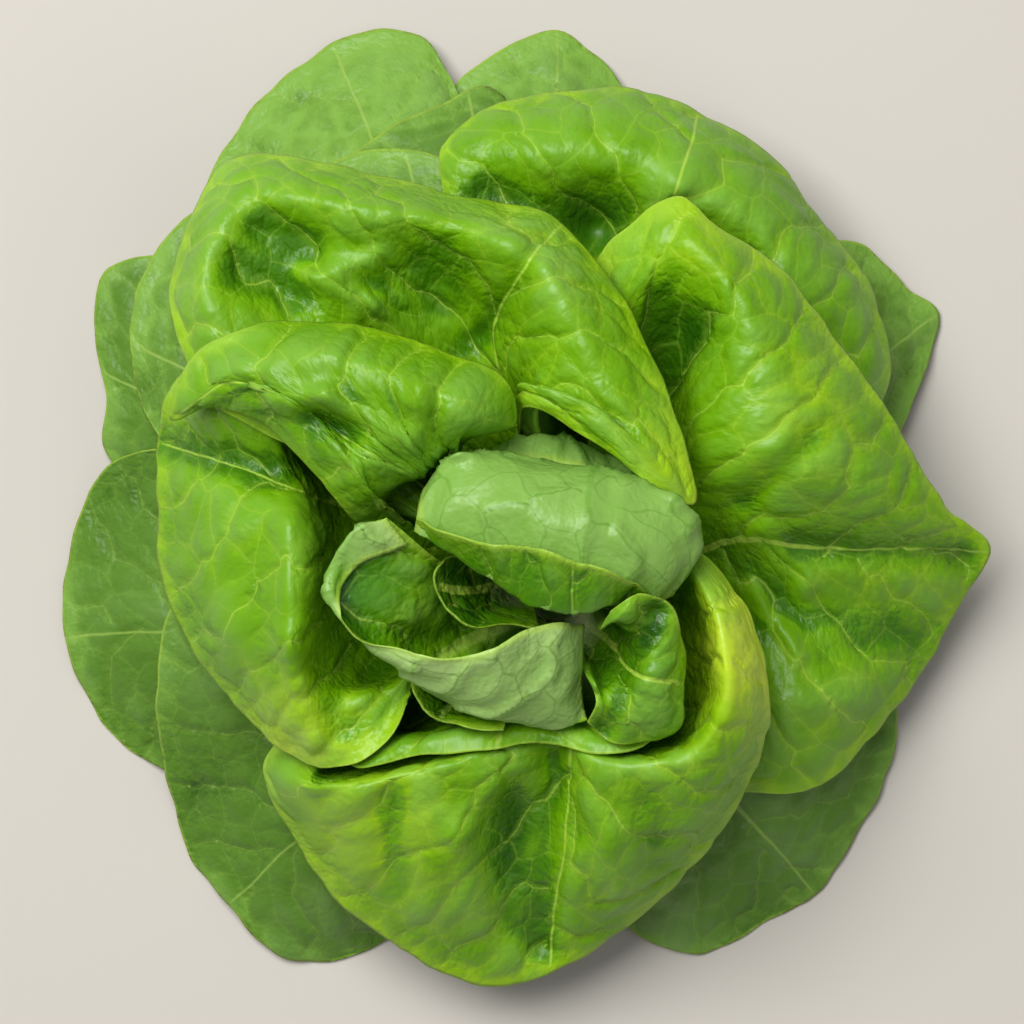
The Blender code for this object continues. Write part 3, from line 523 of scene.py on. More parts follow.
def smoothed(values, times):
    """The grid's values averaged with their neighbours, so many times over."""
    for _ in range(times):
        values = values / 2 + sum(shifted(values, a, b) for a, b in AROUND) / 8
    return values


def step_lengths(points, axis):
    """Distance along the blade's grid lines, from 0 at the start of each line."""
    along = np.cumsum(lengths(np.diff(points, axis=axis)), axis=axis)
    return np.concatenate([np.zeros_like(np.take(along, [0], axis=axis)), along], axis=axis)


def base_surface(spec, lift):
    """Smooth middle of the fine blade, lifted as the coarse one was over the leaves below."""
    rows, columns = spec["fine"]
    u = np.linspace(0.0, 1.0, rows + 1)**ROW_CROWDING
    v = np.linspace(0.0, 1.0, columns + 1)
    coarse_u, coarse_v = (np.linspace(0.0, 1.0, count) for count in lift.shape)
    points = surface(spec, u, v)
    points[..., 2] += through(coarse_u, through(coarse_v, lift.T, v).T, u)
    points[..., 2] += fold_lift(points, spec["creases"])
    return points


def pairs(shape, rows, columns):
    """Where the first and the second point of every pair lie that is so far apart on the grid."""
    near = (slice(0, shape[0] - rows), slice(max(-columns, 0), shape[1] - max(columns, 0)))
    far = (slice(rows, None), slice(max(columns, 0), shape[1] + min(columns, 0)))
    return near, far


def rib_share(spec):
    """How far across the leaf, from 0 to 1, its rib runs."""
    marks = knots(rings(spec)[-1])
    place = (len(marks) - 1) / 2 if spec["rib"] is None else spec["rib"]
    return float(np.interp(place, np.arange(len(marks)), marks))


def flattened(points, share):
    """The blade laid flat with its lengths kept as well as they can be, the rib along +Y.

    The distances between neighbours pull on a coarse grid of its points like springs, and push
    more weakly.
    """
    rows, columns = points.shape[0] - 1, points.shape[1] - 1
    rib = int(round(share * columns))
    left = max(int(round(FLAT_COLUMNS * share)), 2)
    row_at = np.unique(np.round(np.linspace(0, rows, FLAT_ROWS + 1)).astype(int))
    column_at = np.unique(np.round(np.concatenate([
        np.linspace(0, rib, left + 1),
        np.linspace(rib, columns, FLAT_COLUMNS - left + 1)])).astype(int))
    radius = (step_lengths(points, 0) + STEM_END)[row_at][:, column_at]
    width = step_lengths(points, 1)[-1, -1]
    fan = min(max(width / radius[-1].mean(), FAN_LEAST), FAN_MOST)
    turn = (column_at - rib) / columns * fan
    flat = np.stack([radius * np.sin(turn), radius * np.cos(turn)], axis=2)
    middle = int(np.where(column_at == rib)[0][0])
    spots = points[row_at][:, column_at]
    springs = []
    for a, b in ((1, 0), (0, 1), (1, 1), (1, -1)):
        near, far = pairs(spots.shape, a, b)
        springs.append((near, far, lengths(spots[far] - spots[near])[..., None]))
    for _ in range(FLAT_PASSES):
        moved = np.zeros_like(flat)
        weight = np.zeros((*flat.shape[:2], 1))
        for near, far, length in springs:
            apart = flat[far] - flat[near]
            distance = np.maximum(lengths(apart)[..., None], LEAST_LENGTH)
            shift = apart * (0.5 * (1.0 - length / distance))
            shift = np.where(distance < length, PUSH_SHARE * shift, shift)
            moved[near] += shift
            moved[far] -= shift
            weight[near] += 1.0
            weight[far] += 1.0
        flat = flat + FLAT_RATE * moved / weight
        flat[:, middle, 0] = 0.0
    flat[..., 1] += STEM_END - flat[0, middle, 1]
    across = through(column_at / columns, flat.transpose(1, 0, 2),
                     np.linspace(0.0, 1.0, columns + 1))
    return through(row_at / rows, across.transpose(1, 0, 2), np.linspace(0.0, 1.0, rows + 1))


def evenness(points, flat):
    """How well the flattened leaf keeps the lengths at each point: 1 well, 0 much squeezed."""
    share = np.ones(points.shape[:2])
    for axis in (0, 1):
        true, laid = (lengths(np.diff(grid, axis=axis)) for grid in (points, flat))
        ratio = laid / np.maximum(true, LEAST_LENGTH)
        ratio = np.concatenate([ratio, np.take(ratio, [-1], axis=axis)], axis=axis)
        share = np.minimum(share, ratio)
    return smoothed(ramp(share, *EVEN_SHARES), EVEN_SMOOTHING)


def blade_fields(points, spec):
    """For each point: its place on the flattened leaf, its ways from margin and stem, evenness."""
    out, side = step_lengths(points, 0), step_lengths(points, 1)
    flat = flattened(points, rib_share(spec))
    seed = np.full((*flat.shape[:2], 1), spec["seed"] * SEED_STEP)
    return {"flat": np.concatenate([flat, seed], axis=2),
            "margin": np.minimum(out[-1] - out, np.minimum(side, side[:, -1:] - side)),
            "radius": out + STEM_END,
            "even": evenness(points, flat)}


def hollows(points, facing):
    """How far the blade is hollow on its upper side: positive in a hollow, negative on a ridge."""
    rows, columns = (max(int(round(HOLLOW_REACH / lengths(np.diff(points, axis=axis)).mean())), 1)
                     for axis in (0, 1))
    around = sum(shifted(points, a * rows, b * columns) for a, b in AROUND) / 4
    depth = ((around - points) * facing).sum(-1) / HOLLOW_REACH
    return smoothed(np.clip(depth * HOLLOW_GAIN, -1.0, 1.0), HOLLOW_SMOOTHING)


def waves(distance, seed, sizes):
    """Even random ripple along a distance, about -1 to 1."""
    chance = np.random.default_rng(seed)
    total = np.zeros_like(distance)
    for size in sizes:
        turn = chance.uniform(0.0, 2.0 * math.pi)
        drift = chance.uniform(*WAVE_DRIFT)
        total += np.sin(2.0 * math.pi * distance * drift / size + turn)
    return total / len(sizes)


def feed(made, inputs):
    """Gives a node's inputs their values, or the other nodes' outputs that they come from."""
    for key, value in dict(inputs).items():
        if isinstance(value, bpy.types.NodeSocket):
            made.id_data.links.new(value, made.inputs[key])
        else:
            made.inputs[key].default_value = value


def node(tree, kind, inputs=(), **settings):
    """Adds a node; each input is a value or another node's output."""
    made = tree.nodes.new(kind)
    for key, value in settings.items():
        setattr(made, key, value)
    feed(made, inputs)
    return made


def output(tree, kind, inputs=(), **settings):
    """First output of a new node."""
    return node(tree, kind, inputs, **settings).outputs[0]


def calc(operation, first, *others, kind="ShaderNodeMath"):
    """Works on an output and other values or outputs, in the tree that it belongs to."""
    return output(first.id_data, kind, enumerate((first, *others)), operation=operation)


def times(first, second):
    return calc("MULTIPLY", first, second)


def plus(first, second):
    return calc("ADD", first, second)


def minus(first, second):
    return calc("SUBTRACT", first, second)


def vector(operation, first, second):
    return calc(operation, first, second, kind="ShaderNodeVectorMath")


def plane(x, y):
    return output(x.id_data, "ShaderNodeCombineXYZ", {0: x, 1: y})


def parts(place):
    return node(place.id_data, "ShaderNodeSeparateXYZ", {0: place}).outputs


def voronoi(place, size, feature):
    """Net of cells of that size in millimetres."""
    inputs = {"Vector": place, "Scale": 1.0 / size, "Randomness": 0.8}
    return node(place.id_data, "ShaderNodeTexVoronoi", inputs, voronoi_dimensions="2D",
                feature=feature)


def cells(place, size):
    """Distance in millimetres to the edge of the nearest of the cells of that size."""
    return times(voronoi(place, size, "DISTANCE_TO_EDGE").outputs["Distance"], size)


def noise(place, size, **settings):
    """Noise from 0 to 1 whose blotches have that size in millimetres."""
    inputs = {"Vector": place, "Scale": 1.0 / size, **settings}
    return node(place.id_data, "ShaderNodeTexNoise", inputs, noise_dimensions="2D").outputs


def drifted(place, size, reach):
    """Smooth random push of up to about half of reach, its blotches of that size."""
    centred = vector("SUBTRACT", noise(place, size, Detail=1.0)["Color"], (0.5, 0.5, 0.5))
    return output(place.id_data, "ShaderNodeVectorMath", {0: centred, "Scale": reach},
                  operation="SCALE")


def vein_nodes(flat):
    """Nodes for the distances in millimetres to the rib, side veins, cells and small cells.

    The cells lie in rows that rise aslant from the rib, and every other row begins at a side vein.
    """
    x, y, seed = parts(flat)
    aside = plane(*(times(seed, offset) for offset in SEED_OFFSET))
    place = vector("ADD", plane(x, y), aside)
    push = vector("ADD", drifted(place, WARP_SIZE, WARP_REACH),
                  drifted(place, BEND_SIZE, BEND_REACH))
    push_x, push_y, _ = parts(push)
    rib = calc("ABSOLUTE", calc("MULTIPLY_ADD", push_x, RIB_SWAY, x))
    over = plus(x, push_x)
    wide = calc("ABSOLUTE", over)
    rise = plus(y, push_y)
    across, upward = math.cos(LATERAL_ANGLE), math.sin(LATERAL_ANGLE)
    along = plus(times(wide, across), times(rise, upward))
    order = minus(times(rise, across), times(wide, upward))
    side = calc("MULTIPLY_ADD", calc("LESS_THAN", over, 0.0), HALVES_APART, times(seed, SEED_ROWS))
    net = plane(calc("MULTIPLY_ADD", along, 1.0 / CELL_STRETCH, side), plus(order, side))
    rows = []
    for feature in ("F1", "F2"):
        height = parts(voronoi(net, CELL_SIZE, feature).outputs["Position"])[1]
        rows.append(calc("FLOOR", calc("DIVIDE", height, CELL_SIZE * LATERAL_ROWS)))
    same = calc("COMPARE", *rows, 0.1)
    cell = cells(net, CELL_SIZE)
    return {"place": place, "rib": rib, "cell": cell, "small": cells(place, SMALL_SIZE),
            "lateral": calc("MULTIPLY_ADD", same, FAR_FROM_LATERAL, cell)}


def placed(name, data):
    """A new object in the scene."""
    made = bpy.data.objects.new(name, data)
    bpy.context.collection.objects.link(made)
    return made


def store(mesh, name, *grids):
    """Keeps the grids' numbers or vectors with the points of the mesh."""
    kind, key = ("FLOAT_VECTOR", "vector") if grids[0].ndim == 3 else ("FLOAT", "value")
    values = np.concatenate([grid.ravel() for grid in grids])
    mesh.attributes.new(name, kind, "POINT").data.foreach_set(key, values)


def vein_values(flats):
    """Vein distances at every point of every leaf, worked out by the nodes that colour them."""
    names = ("rib", "lateral", "cell", "small")
    tree = bpy.data.node_groups.new("vein_values", "GeometryNodeTree")
    for way in ("INPUT", "OUTPUT"):
        tree.interface.new_socket("Geometry", in_out=way, socket_type="NodeSocketGeometry")
    geometry = output(tree, "NodeGroupInput")
    found = vein_nodes(output(tree, "GeometryNodeInputNamedAttribute", {"Name": "flat"},
                                    data_type="FLOAT_VECTOR"))
    for name in names:
        geometry = output(tree, "GeometryNodeStoreNamedAttribute",
                          {"Geometry": geometry, "Name": name, "Value": found[name]},
                          data_type="FLOAT", domain="POINT")
    node(tree, "NodeGroupOutput", {0: geometry})
    counts = [flat.shape[0] * flat.shape[1] for flat in flats]
    mesh = bpy.data.meshes.new("vein_values")
    mesh.vertices.add(sum(counts))
    store(mesh, "flat", *flats)
    probe = placed("vein_values", mesh)
    probe.modifiers.new("veins", "NODES").node_group = tree
    finished = probe.evaluated_get(bpy.context.evaluated_depsgraph_get()).data
    split = [{} for _ in flats]
    for name in names:
        values = np.zeros(sum(counts), np.float32)
        finished.attributes[name].data.foreach_get("value", values)
        for veins, part, flat in zip(split, np.split(values, np.cumsum(counts)[:-1]), flats):
            veins[name] = part.reshape(flat.shape[:2]).astype(float)
    bpy.data.objects.remove(probe, do_unlink=True)
    bpy.data.meshes.remove(mesh)
    bpy.data.node_groups.remove(tree)
    return split


def dressed(points, fields, spec):
    """The blade's middle with its puffs between the veins and its ruffled margin."""
    facing = normals(points)
    margin, radius, seed = fields["margin"], fields["radius"], spec["seed"]
    height = (CELL_PUFF * (1.0 - bell(fields["cell"], CELL_DOME) - PUFF_SUNK)
              - LATERAL_PUFF * bell(fields["lateral"], LATERAL_WIDTH)
              + SMALL_PUFF * (1.0 - bell(fields["small"], SMALL_DOME) - PUFF_SUNK))
    height *= ramp(radius, *PUFF_ALONG) * fields["even"]
    height *= ramp(margin, 0.0, MARGIN_REACH) * (1.0 - PUFF_AT_MARGIN) + PUFF_AT_MARGIN
    side = step_lengths(points, 1)
    along = np.broadcast_to(side[-1], side.shape)
    near = np.exp(-margin / RUFFLE_REACH) * ramp(radius, *RUFFLE_ALONG)
    height += RUFFLE_HEIGHT * spec["ruffle"] * near * waves(along, seed, RUFFLE_WAVES)
    shift = OUTLINE_SHIFT * near**2 * waves(along, seed + OUTLINE_SEED, OUTLINE_WAVES)
    out = unit(np.gradient(points, axis=0))
    return points + facing * height[..., None] + out * shift[..., None]


def lay(points, tree, cover):
    """Lifts the fine blade clear of the leaves laid before it, in smooth swells."""
    need = np.zeros(points.shape[:2])
    need[::2, ::2] = [[max(top_below(tree, x, y, z + cover) + LAY_GAP - z, 0.0)
                       for x, y, z in line] for line in points[::2, ::2]]
    for _ in range(LAY_SPREAD):
        around = [shifted(need, a, b) for a in (-1, 0, 1) for b in (-1, 0, 1)]
        need = np.maximum.reduce(around)
    lifted = points.copy()
    lifted[..., 2] += smoothed(need, LAY_SMOOTHING)
    return lifted


def border(rows, columns):
    """Indices round a grid of points, once round."""
    at = np.arange((rows + 1) * (columns + 1)).reshape(rows + 1, columns + 1)
    return np.concatenate([at[:-1, 0], at[-1, :-1], at[:0:-1, -1], at[0, :0:-1]])


def closed_faces(rows, columns):
    """Triangles of a blade: a fine upper grid, a lower one at half the detail, a rim between."""
    count = (rows + 1) * (columns + 1)
    lower = grid_faces(rows // 2, columns // 2)[:, ::-1] + count
    fine = border(rows, columns)
    b0 = border(rows // 2, columns // 2) + count
    b1 = np.roll(b0, -1)
    t0, t1, t2 = fine[::2], fine[1::2], np.roll(fine, -2)[::2]
    rim = [np.stack(corners, 1) for corners in ((t1, t0, b0), (t1, b0, b1), (t2, t1, b1))]
    return np.concatenate([grid_faces(rows, columns), lower, *rim])


def blade_piece(points, fields, spec):
    """Closed blade, with its ribs on the lower face, and the values that colour it."""
    facing = normals(points)
    margin, radius = fields["margin"], fields["radius"]
    taper = ramp(margin, 0.0, MARGIN_TAPER)
    half = (MARGIN_THICKNESS + (BLADE_THICKNESS - MARGIN_THICKNESS) * taper) / 2
    along = np.clip((radius - STEM_END) / (radius[-1].max() - STEM_END), 0.0, 1.0)**RIB_FALL
    breadth, depth = (first + (last - first) * along for first, last in (RIB_BREADTH, RIB_DEPTH))
    rib = depth * bell(fields["rib"], breadth) * taper
    side_rib = (SIDE_RIB_DEPTH * bell(fields["lateral"], SIDE_RIB_BREADTH) * taper
                * ramp(radius, *SIDE_RIB_ALONG))
    groove = GROOVE_DEPTH * bell(fields["rib"], GROOVE_BREADTH) * taper
    top = points + facing * (half - groove)[..., None]
    below = points - facing * (half + rib + side_rib)[..., None]
    places = np.concatenate([top.reshape(-1, 3), below[::2, ::2].reshape(-1, 3)])
    faces = closed_faces(points.shape[0] - 1, points.shape[1] - 1)
    corners = places[faces]
    volume = np.einsum("ij,ij->i", corners[:, 0], np.cross(corners[:, 1], corners[:, 2])).sum()
    if volume < 0.0:
        faces = faces[:, ::-1]
    mesh = bpy.data.meshes.new(spec["name"])
    mesh.vertices.add(len(places))
    mesh.vertices.foreach_set("co", (places * MM).ravel())
    mesh.loops.add(faces.size)
    mesh.loops.foreach_set("vertex_index", faces.ravel())
    mesh.polygons.add(len(faces))
    mesh.polygons.foreach_set("loop_start", np.arange(0, faces.size, 3))
    mesh.update(calc_edges=True)
    mesh.shade_smooth()
    # The hollow value drives the painted shade in hollows and the painted sheen on domes, as well
    # as the leathery grain
    hollow = hollows(points, facing)
    for key in ("flat", "margin", "radius", "even"):
        store(mesh, key, fields[key], fields[key][::2, ::2])
    for key, above, under in (("face", np.ones_like(margin), np.zeros_like(margin)),
                              ("tone", tones(points, spec, "tone"), tones(points, spec, "under")),
                              ("hollow", hollow, -hollow)):
        store(mesh, key, above, under[::2, ::2])
    return mesh


def tones(points, spec, side):
    """Tone of one side of the leaf at each point: its own, with brighter or deeper spots that are
    partly the leaf's own colour and partly painted light and painted shade.
    """
    tone = np.full(points.shape[:2], spec[side])
    for x, y, radius, amount in spec["spots"]:
        off = (points[..., 0] - x)**2 + (points[..., 1] - y)**2
        tone += amount * np.exp(-off / radius**2)
    return tone


def between(value, low, high, to_low=0.0, to_high=1.0, smooth=True):
    """The value's way from low to high, turned into one from to_low to to_high."""
    inputs = {"Value": value, "From Min": low, "From Max": high, "To Min": to_low,
              "To Max": to_high}
    kind = "SMOOTHSTEP" if smooth else "LINEAR"
    return output(value.id_data, "ShaderNodeMapRange", inputs, interpolation_type=kind)


def blend(amount, first, second):
    """The first colour, with that amount of the second; a plain one is three numbers."""
    if isinstance(second, tuple):
        second = (*second, 1.0)
    inputs = {0: amount, 6: first, 7: second}
    return node(amount.id_data, "ShaderNodeMix", inputs, data_type="RGBA").outputs[2]


def strongest(*lines):
    """The greatest of some values, each taken by its share."""
    found, *others = [times(value, share) for value, share in lines]
    for other in others:
        found = calc("MAXIMUM", found, other)
    return found


def colour_ramp(value, stops):
    made = node(value.id_data, "ShaderNodeValToRGB", {0: value})
    made.color_ramp.interpolation = "EASE"
    while len(made.color_ramp.elements) < len(stops):
        made.color_ramp.elements.new(0.5)
    for element, (position, colour) in zip(made.color_ramp.elements, stops):
        element.position = position
        element.color = (*colour, 1.0)
    return made.outputs[0]


def new_material(name):
    """A new material with its node tree and its shader."""
    made = bpy.data.materials.new(name)
    made.use_nodes = True
    return made, made.node_tree, made.node_tree.nodes["Principled BSDF"]


LEAF_GLOW = 0.16
HEM_COLOUR = (0.44, 0.64, 0.06)
STALK_COLOUR = (0.52, 0.60, 0.30)
STEM_TIP_COLOUR = (0.10, 0.27, 0.03)
STEM_CUT_COLOURS = [(0.0, (0.66, 0.68, 0.44)), (0.5, (0.60, 0.62, 0.36)),
                    (0.72, (0.42, 0.33, 0.14)), (0.82, (0.60, 0.60, 0.34)),
                    (1.0, (0.46, 0.44, 0.20))]
STEM_WALL_COLOURS = [(0.3, (0.50, 0.58, 0.30)), (0.7, (0.64, 0.70, 0.46))]


def leaf_skin(name, upper, under, upper_vein, under_vein, painted_sheen, gloss, net=1.0, hem=0.9,
              blanched=1.0):
    """Leaf tissue: green by tone and blotch, its net of veins, painted sheen on its domes, fine
    grain.

    The greens run from deep to pale, net is how strongly the veins show, hem the width of the pale
    edge in millimetres and blanched how pale the blade gets beside the rib near the stem.
    """
    skin, tree, shader = new_material(name)
    flat = node(tree, "ShaderNodeAttribute", attribute_name="flat").outputs["Vector"]
    face, margin, tone, hollow, radius, even = (
        node(tree, "ShaderNodeAttribute", attribute_name=key).outputs["Fac"]
        for key in ("face", "margin", "tone", "hollow", "radius", "even"))
    veins = vein_nodes(flat)
    broad, blotch, grit, grain = (
        noise(veins["place"], size, Detail=detail, Roughness=0.55)[0]
        for size, detail in ((30.0, 2.0), (6.0, 3.0), (0.8, 2.0), (1.7, 1.5)))

    # Green of both faces: paler by blotches, by the margin and along the cells, darker in hollows
    # as painted shade
    shade = tone
    for blotches, amount in ((broad, 0.15), (blotch, 0.16), (grit, 0.08)):
        shade = calc("MULTIPLY_ADD", minus(blotches, 0.5), amount, shade)
    # Painted shade: the green is darkened where the blade is hollow, as though shade lay there
    shade = calc("MULTIPLY_ADD", calc("MAXIMUM", hollow, 0.0), -0.31, shade)
    # Paler and yellower towards the margin: partly the edge's own colour, partly painted light
    # shining through the thin rim
    shade = plus(shade, between(margin, 9.0, 0.5, 0.0, 0.12))
    shade = plus(shade, between(veins["cell"], 2.2, 0.2, 0.0, 0.05))
    # Painted sheen: the domes are mixed toward a pale bluish colour that stands in for the window's
    # reflection
    dome = times(between(hollow, 0.0, -0.7), between(broad, 0.3, 0.7))
    green = blend(times(dome, 0.32), colour_ramp(shade, upper), painted_sheen)
    back = colour_ramp(shade, under)

    # Veins, thinner away from the stem
    thin = between(radius, 130.0, 20.0, 0.45, 1.0)
    rib_half = between(radius, 20.0, 100.0, 1.5, 0.3)
    rib_line = between(minus(veins["rib"], rib_half), 0.3, -0.3)
    side_line = between(calc("DIVIDE", veins["lateral"], thin), 0.62, 0.12)
    halo = times(between(veins["lateral"], 2.4, 0.2), even)
    cell_line = times(between(veins["cell"], 0.36, 0.05), even)
    near_margin = between(margin, 0.4, 4.0, 0.3, 1.0)
    above = strongest((side_line, 0.5 * net), (cell_line, 0.17 * net), (halo, 0.12 * net),
                      (rib_line, 0.75))
    below = strongest((side_line, 0.62), (cell_line, 0.5), (rib_line, 0.4))
    front = blend(times(above, near_margin), green, upper_vein)
    rear = blend(times(below, near_margin), back, under_vein)
    colour = blend(face, rear, front)
    # Pale hem at the very edge: partly its own colour, partly painted light shining through the
    # thin rim
    colour = blend(between(margin, hem, hem / 4, 0.0, 0.5), colour, HEM_COLOUR)
    beside_rib = between(veins["rib"], 22.0, 6.0, 0.5 * blanched, blanched)
    colour = blend(times(between(radius, 34.0, 12.0), beside_rib), colour, STALK_COLOUR)

    # Leathery grain, strongest in the hollows
    height = times(between(veins["small"], 0.0, 1.0), 0.12)
    height = calc("MULTIPLY_ADD", grain, 0.42, height)
    leathery = times(between(hollow, -0.3, 0.5, 0.45, 1.0), even)
    height = times(height, leathery)
    bump = output(tree, "ShaderNodeBump", {"Height": height, "Distance": MM, "Strength": 1.0})
    rough = between(blotch, 0.3, 0.7, gloss - 0.05, gloss + 0.07)
    feed(shader, {"Base Color": colour, "Roughness": rough, "Normal": bump,
                  "Specular IOR Level": 0.42})
    glow = output(tree, "ShaderNodeBsdfTranslucent", {0: colour, 1: bump})
    both = output(tree, "ShaderNodeMixShader", {0: LEAF_GLOW, 1: shader.outputs[0], 2: glow})
    feed(tree.nodes["Material Output"], {"Surface": both})
    return skin


def stem_skin():
    """Flesh of the stem: pale outside, leaf green at its tip, its cut face cream, ringed brown."""
    skin, tree, shader = new_material("stem_flesh")
    place = node(tree, "ShaderNodeTexCoord").outputs["Object"]
    x, y, z = parts(place)
    out = node(tree, "ShaderNodeVectorMath", {0: plane(x, y)}, operation="LENGTH")
    blotch, fibre = (output(tree, "ShaderNodeTexNoise",
                            {"Vector": place, "Scale": scale, "Detail": detail})
                     for scale, detail in ((260.0, 4.0), (900.0, 3.0)))
    ring = calc("MULTIPLY_ADD", blotch, 0.004, out.outputs["Value"])
    cut = colour_ramp(between(ring, 0.0, 0.0155, smooth=False), STEM_CUT_COLOURS)
    wall = colour_ramp(blotch, STEM_WALL_COLOURS)
    wall = blend(between(z, 0.024, 0.038), wall, STEM_TIP_COLOUR)
    colour = blend(between(z, 0.0022, 0.0008), wall, cut)
    bump = output(tree, "ShaderNodeBump", {"Height": plus(blotch, fibre),
                                           "Distance": 0.0005, "Strength": 0.6})
    feed(shader, {"Base Color": colour, "Roughness": 0.45, "Normal": bump})
    return skin


# The stem's rounded cut rim as shares of its radius and heights, and the ridges of its wall
STEM_SIDES = 120
STEM_CUT = [(0.5, 0.2), (0.82, 0.1), (0.95, 0.0), (1.0, 0.8), (1.0, 2.2)]
STEM_CUT_MIDDLE = 0.25
STEM_LEVELS = np.linspace(4.0, STEM_HEIGHT - 1.0, 28)
STEM_RIDGES = [(0.35, 5, 0.9), (0.2, 8, -1.4)]
STEM_RIDGE_SHARE = 0.6
STEM_RIDGE_RISE = 12.0
STEM_SUNK = 0.35
STEM_CAP = (STEM_TOP_RADIUS * 0.55, STEM_HEIGHT - 0.2)


def stem_piece():
    """Cone of flesh with leaf-base ridges, rounded at its top and at the rim of its cut face."""
    turn = np.linspace(0.0, 2.0 * math.pi, STEM_SIDES, endpoint=False)
    loops = [circle(turn, stem_radius(z) * share, z) for share, z in STEM_CUT]
    for z in STEM_LEVELS:
        ridge = sum(size * np.sin(count * turn + lean * z) for size, count, lean in STEM_RIDGES)
        ridge *= min(z / STEM_RIDGE_RISE, 1.0) * STEM_RIDGE_SHARE
        loops.append(circle(turn, stem_radius(z) - STEM_SUNK + ridge, z))
    loops.append(circle(turn, *STEM_CAP))
    count = len(loops) * STEM_SIDES
    faces = []
    for side in range(STEM_SIDES):
        after = (side + 1) % STEM_SIDES
        faces.append((count, after, side))
        faces += [(start + side, start + after, start + STEM_SIDES + after,
                   start + STEM_SIDES + side) for start in range(0, count - STEM_SIDES, STEM_SIDES)]
        faces.append((count - STEM_SIDES + side, count - STEM_SIDES + after, count + 1))
    ends = [[0.0, 0.0, STEM_CUT_MIDDLE], [0.0, 0.0, STEM_HEIGHT]]
    mesh = bpy.data.meshes.new("stem_flesh")
    mesh.from_pydata((np.concatenate([*loops, ends]) * MM).tolist(), [], faces)
    mesh.shade_smooth()
    return mesh


def add_piece(name, mesh, skin, node_name):
    mesh.materials.append(skin)
    piece = placed(name, mesh)
    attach(piece, "root")
    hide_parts(node_name)


def add_leaves(skins):
    """Leaves laid one on another as the solids were, then finely formed."""
    coarse = []
    bases = []
    for spec in LEAVES:
        points = surface(spec, *(np.linspace(0.0, 1.0, count + 1) for count in spec["grid"]))
        lifted = stack(points, pile_tree(coarse), spec["cover"]) if coarse else points
        coarse.append(lifted)
        bases.append(base_surface(spec, (lifted - points)[..., 2]))
    every = [blade_fields(points, spec) for points, spec in zip(bases, LEAVES)]
    veins = vein_values([fields["flat"] for fields in every])
    laid = []
    for spec, points, fields, found in zip(LEAVES, bases, every, veins):
        fields.update(found)
        points = dressed(points, fields, spec)
        if laid:
            points = lay(points, pile_tree(laid), spec["cover"])
        points[..., 2] = np.maximum(points[..., 2], LOWEST_MIDDLE)
        laid.append(points[::2, ::2])
        slot = spec["slot"]
        mesh = blade_piece(points, fields, spec)
        add_piece(spec["name"] + "_blade", mesh, skins[slot], spec["name"])


# Room, in metres and watts
FLOOR_COLOUR = (0.57, 0.535, 0.475, 1.0)
FLOOR_ROUGHNESS = 0.7
FLOOR_HALF = 4.0
FLOOR_LEVEL = -0.0002
LIGHT_AIM = Vector((-0.01, 0.02, 0.04))
SKY_COLOUR = (0.93, 0.96, 1.0, 1.0)
SKY_STRENGTH = 0.17
CAMERA_HEIGHT = 1.3
FOCUS_HEIGHT = 0.04
FRAME_WIDTH = 0.256
CAMERA_OVER = (-0.01075, 0.0195)
SENSOR_WIDTH = 36.0


def add_floor():
    skin, _, shader = new_material("floor")
    feed(shader, {"Base Color": FLOOR_COLOUR, "Roughness": FLOOR_ROUGHNESS})
    mesh = bpy.data.meshes.new("floor")
    half = FLOOR_HALF
    mesh.from_pydata([(-half, -half, 0.0), (half, -half, 0.0), (half, half, 0.0),
                      (-half, half, 0.0)], [], [(0, 1, 2, 3)])
    mesh.materials.append(skin)
    floor = placed("floor", mesh)
    floor.location.z = FLOOR_LEVEL


def add_light(name, place, size, power):
    lamp = bpy.data.lights.new(name, "AREA")
    lamp.shape = "SQUARE"
    lamp.size = size
    lamp.energy = power
    light = placed(name, lamp)
    light.location = place
    light.rotation_euler = (LIGHT_AIM - Vector(place)).to_track_quat("-Z", "Y").to_euler()


def add_sky():
    scene = bpy.context.scene
    scene.world = scene.world or bpy.data.worlds.new("room")
    scene.world.use_nodes = True
    feed(scene.world.node_tree.nodes["Background"], {0: SKY_COLOUR, 1: SKY_STRENGTH})
    scene.view_settings.view_transform = "Standard"


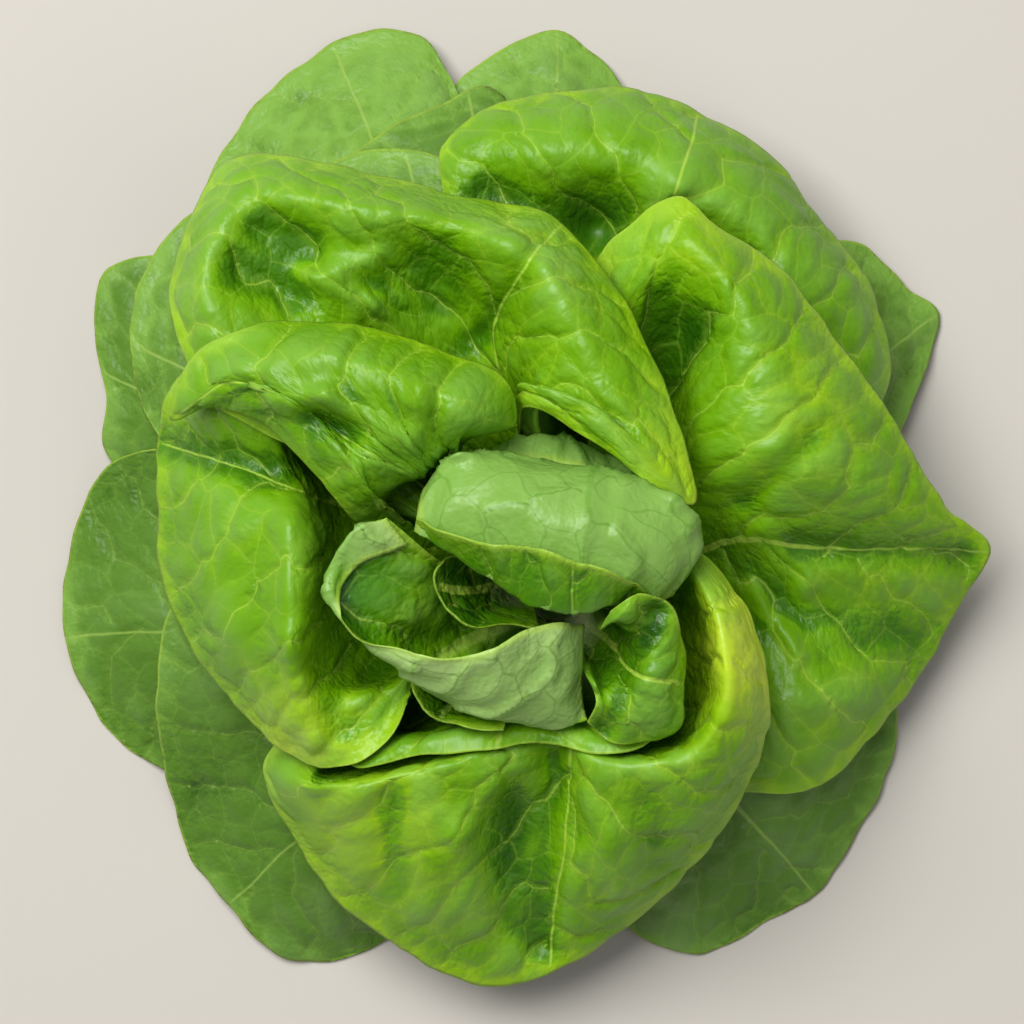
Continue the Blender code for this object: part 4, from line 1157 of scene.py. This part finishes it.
def add_camera():
    """Straight above, so that the frame is 256 mm wide at the height of most leaves."""
    view = bpy.data.cameras.new("camera")
    view.sensor_width = SENSOR_WIDTH
    view.lens = SENSOR_WIDTH * (CAMERA_HEIGHT - FOCUS_HEIGHT) / FRAME_WIDTH
    view.clip_end = 20.0
    camera = placed("camera", view)
    camera.location = (*CAMERA_OVER, CAMERA_HEIGHT)
    bpy.context.scene.camera = camera


# Each skin's fifth colour is the painted sheen laid on its domes
SKINS = {
    "outer_leaf": leaf_skin(
        "outer_leaf",
        [(0.0, (0.022, 0.085, 0.002)), (0.3, (0.105, 0.245, 0.018)), (0.55, (0.225, 0.45, 0.055)),
         (1.0, (0.36, 0.60, 0.10))],
        [(0.0, (0.10, 0.24, 0.02)), (0.5, (0.20, 0.37, 0.05)), (1.0, (0.34, 0.52, 0.10))],
        (0.34, 0.53, 0.09), (0.24, 0.42, 0.08), (0.30, 0.50, 0.16), gloss=0.44, net=0.62),
    "leaf": leaf_skin(
        "leaf",
        [(0.0, (0.018, 0.10, 0.001)), (0.25, (0.072, 0.235, 0.001)), (0.45, (0.17, 0.42, 0.001)),
         (0.7, (0.36, 0.63, 0.006)), (1.0, (0.66, 0.85, 0.03))],
        [(0.0, (0.10, 0.28, 0.01)), (0.5, (0.25, 0.48, 0.04)), (1.0, (0.44, 0.65, 0.10))],
        (0.50, 0.74, 0.08), (0.26, 0.48, 0.05), (0.28, 0.56, 0.11), gloss=0.40),
    "heart_leaf": leaf_skin(
        "heart_leaf",
        [(0.0, (0.014, 0.10, 0.001)), (0.25, (0.075, 0.26, 0.001)), (0.7, (0.27, 0.57, 0.008)),
         (1.0, (0.54, 0.78, 0.04))],
        [(0.0, (0.06, 0.25, 0.002)), (0.25, (0.15, 0.40, 0.015)), (0.5, (0.26, 0.49, 0.085)),
         (1.0, (0.46, 0.68, 0.21))],
        (0.42, 0.66, 0.08), (0.14, 0.34, 0.03), (0.40, 0.64, 0.18), gloss=0.36, hem=2.6,
        blanched=0.3),
}

add_leaves(SKINS)
add_piece("stem_flesh", stem_piece(), stem_skin(), "stem")
add_floor()
add_light("sky_window", (-0.65, 0.8, 1.8), 1.4, 54.0)
add_light("room_fill", (0.9, -0.7, 1.6), 1.6, 5.0)
add_sky()
add_camera()
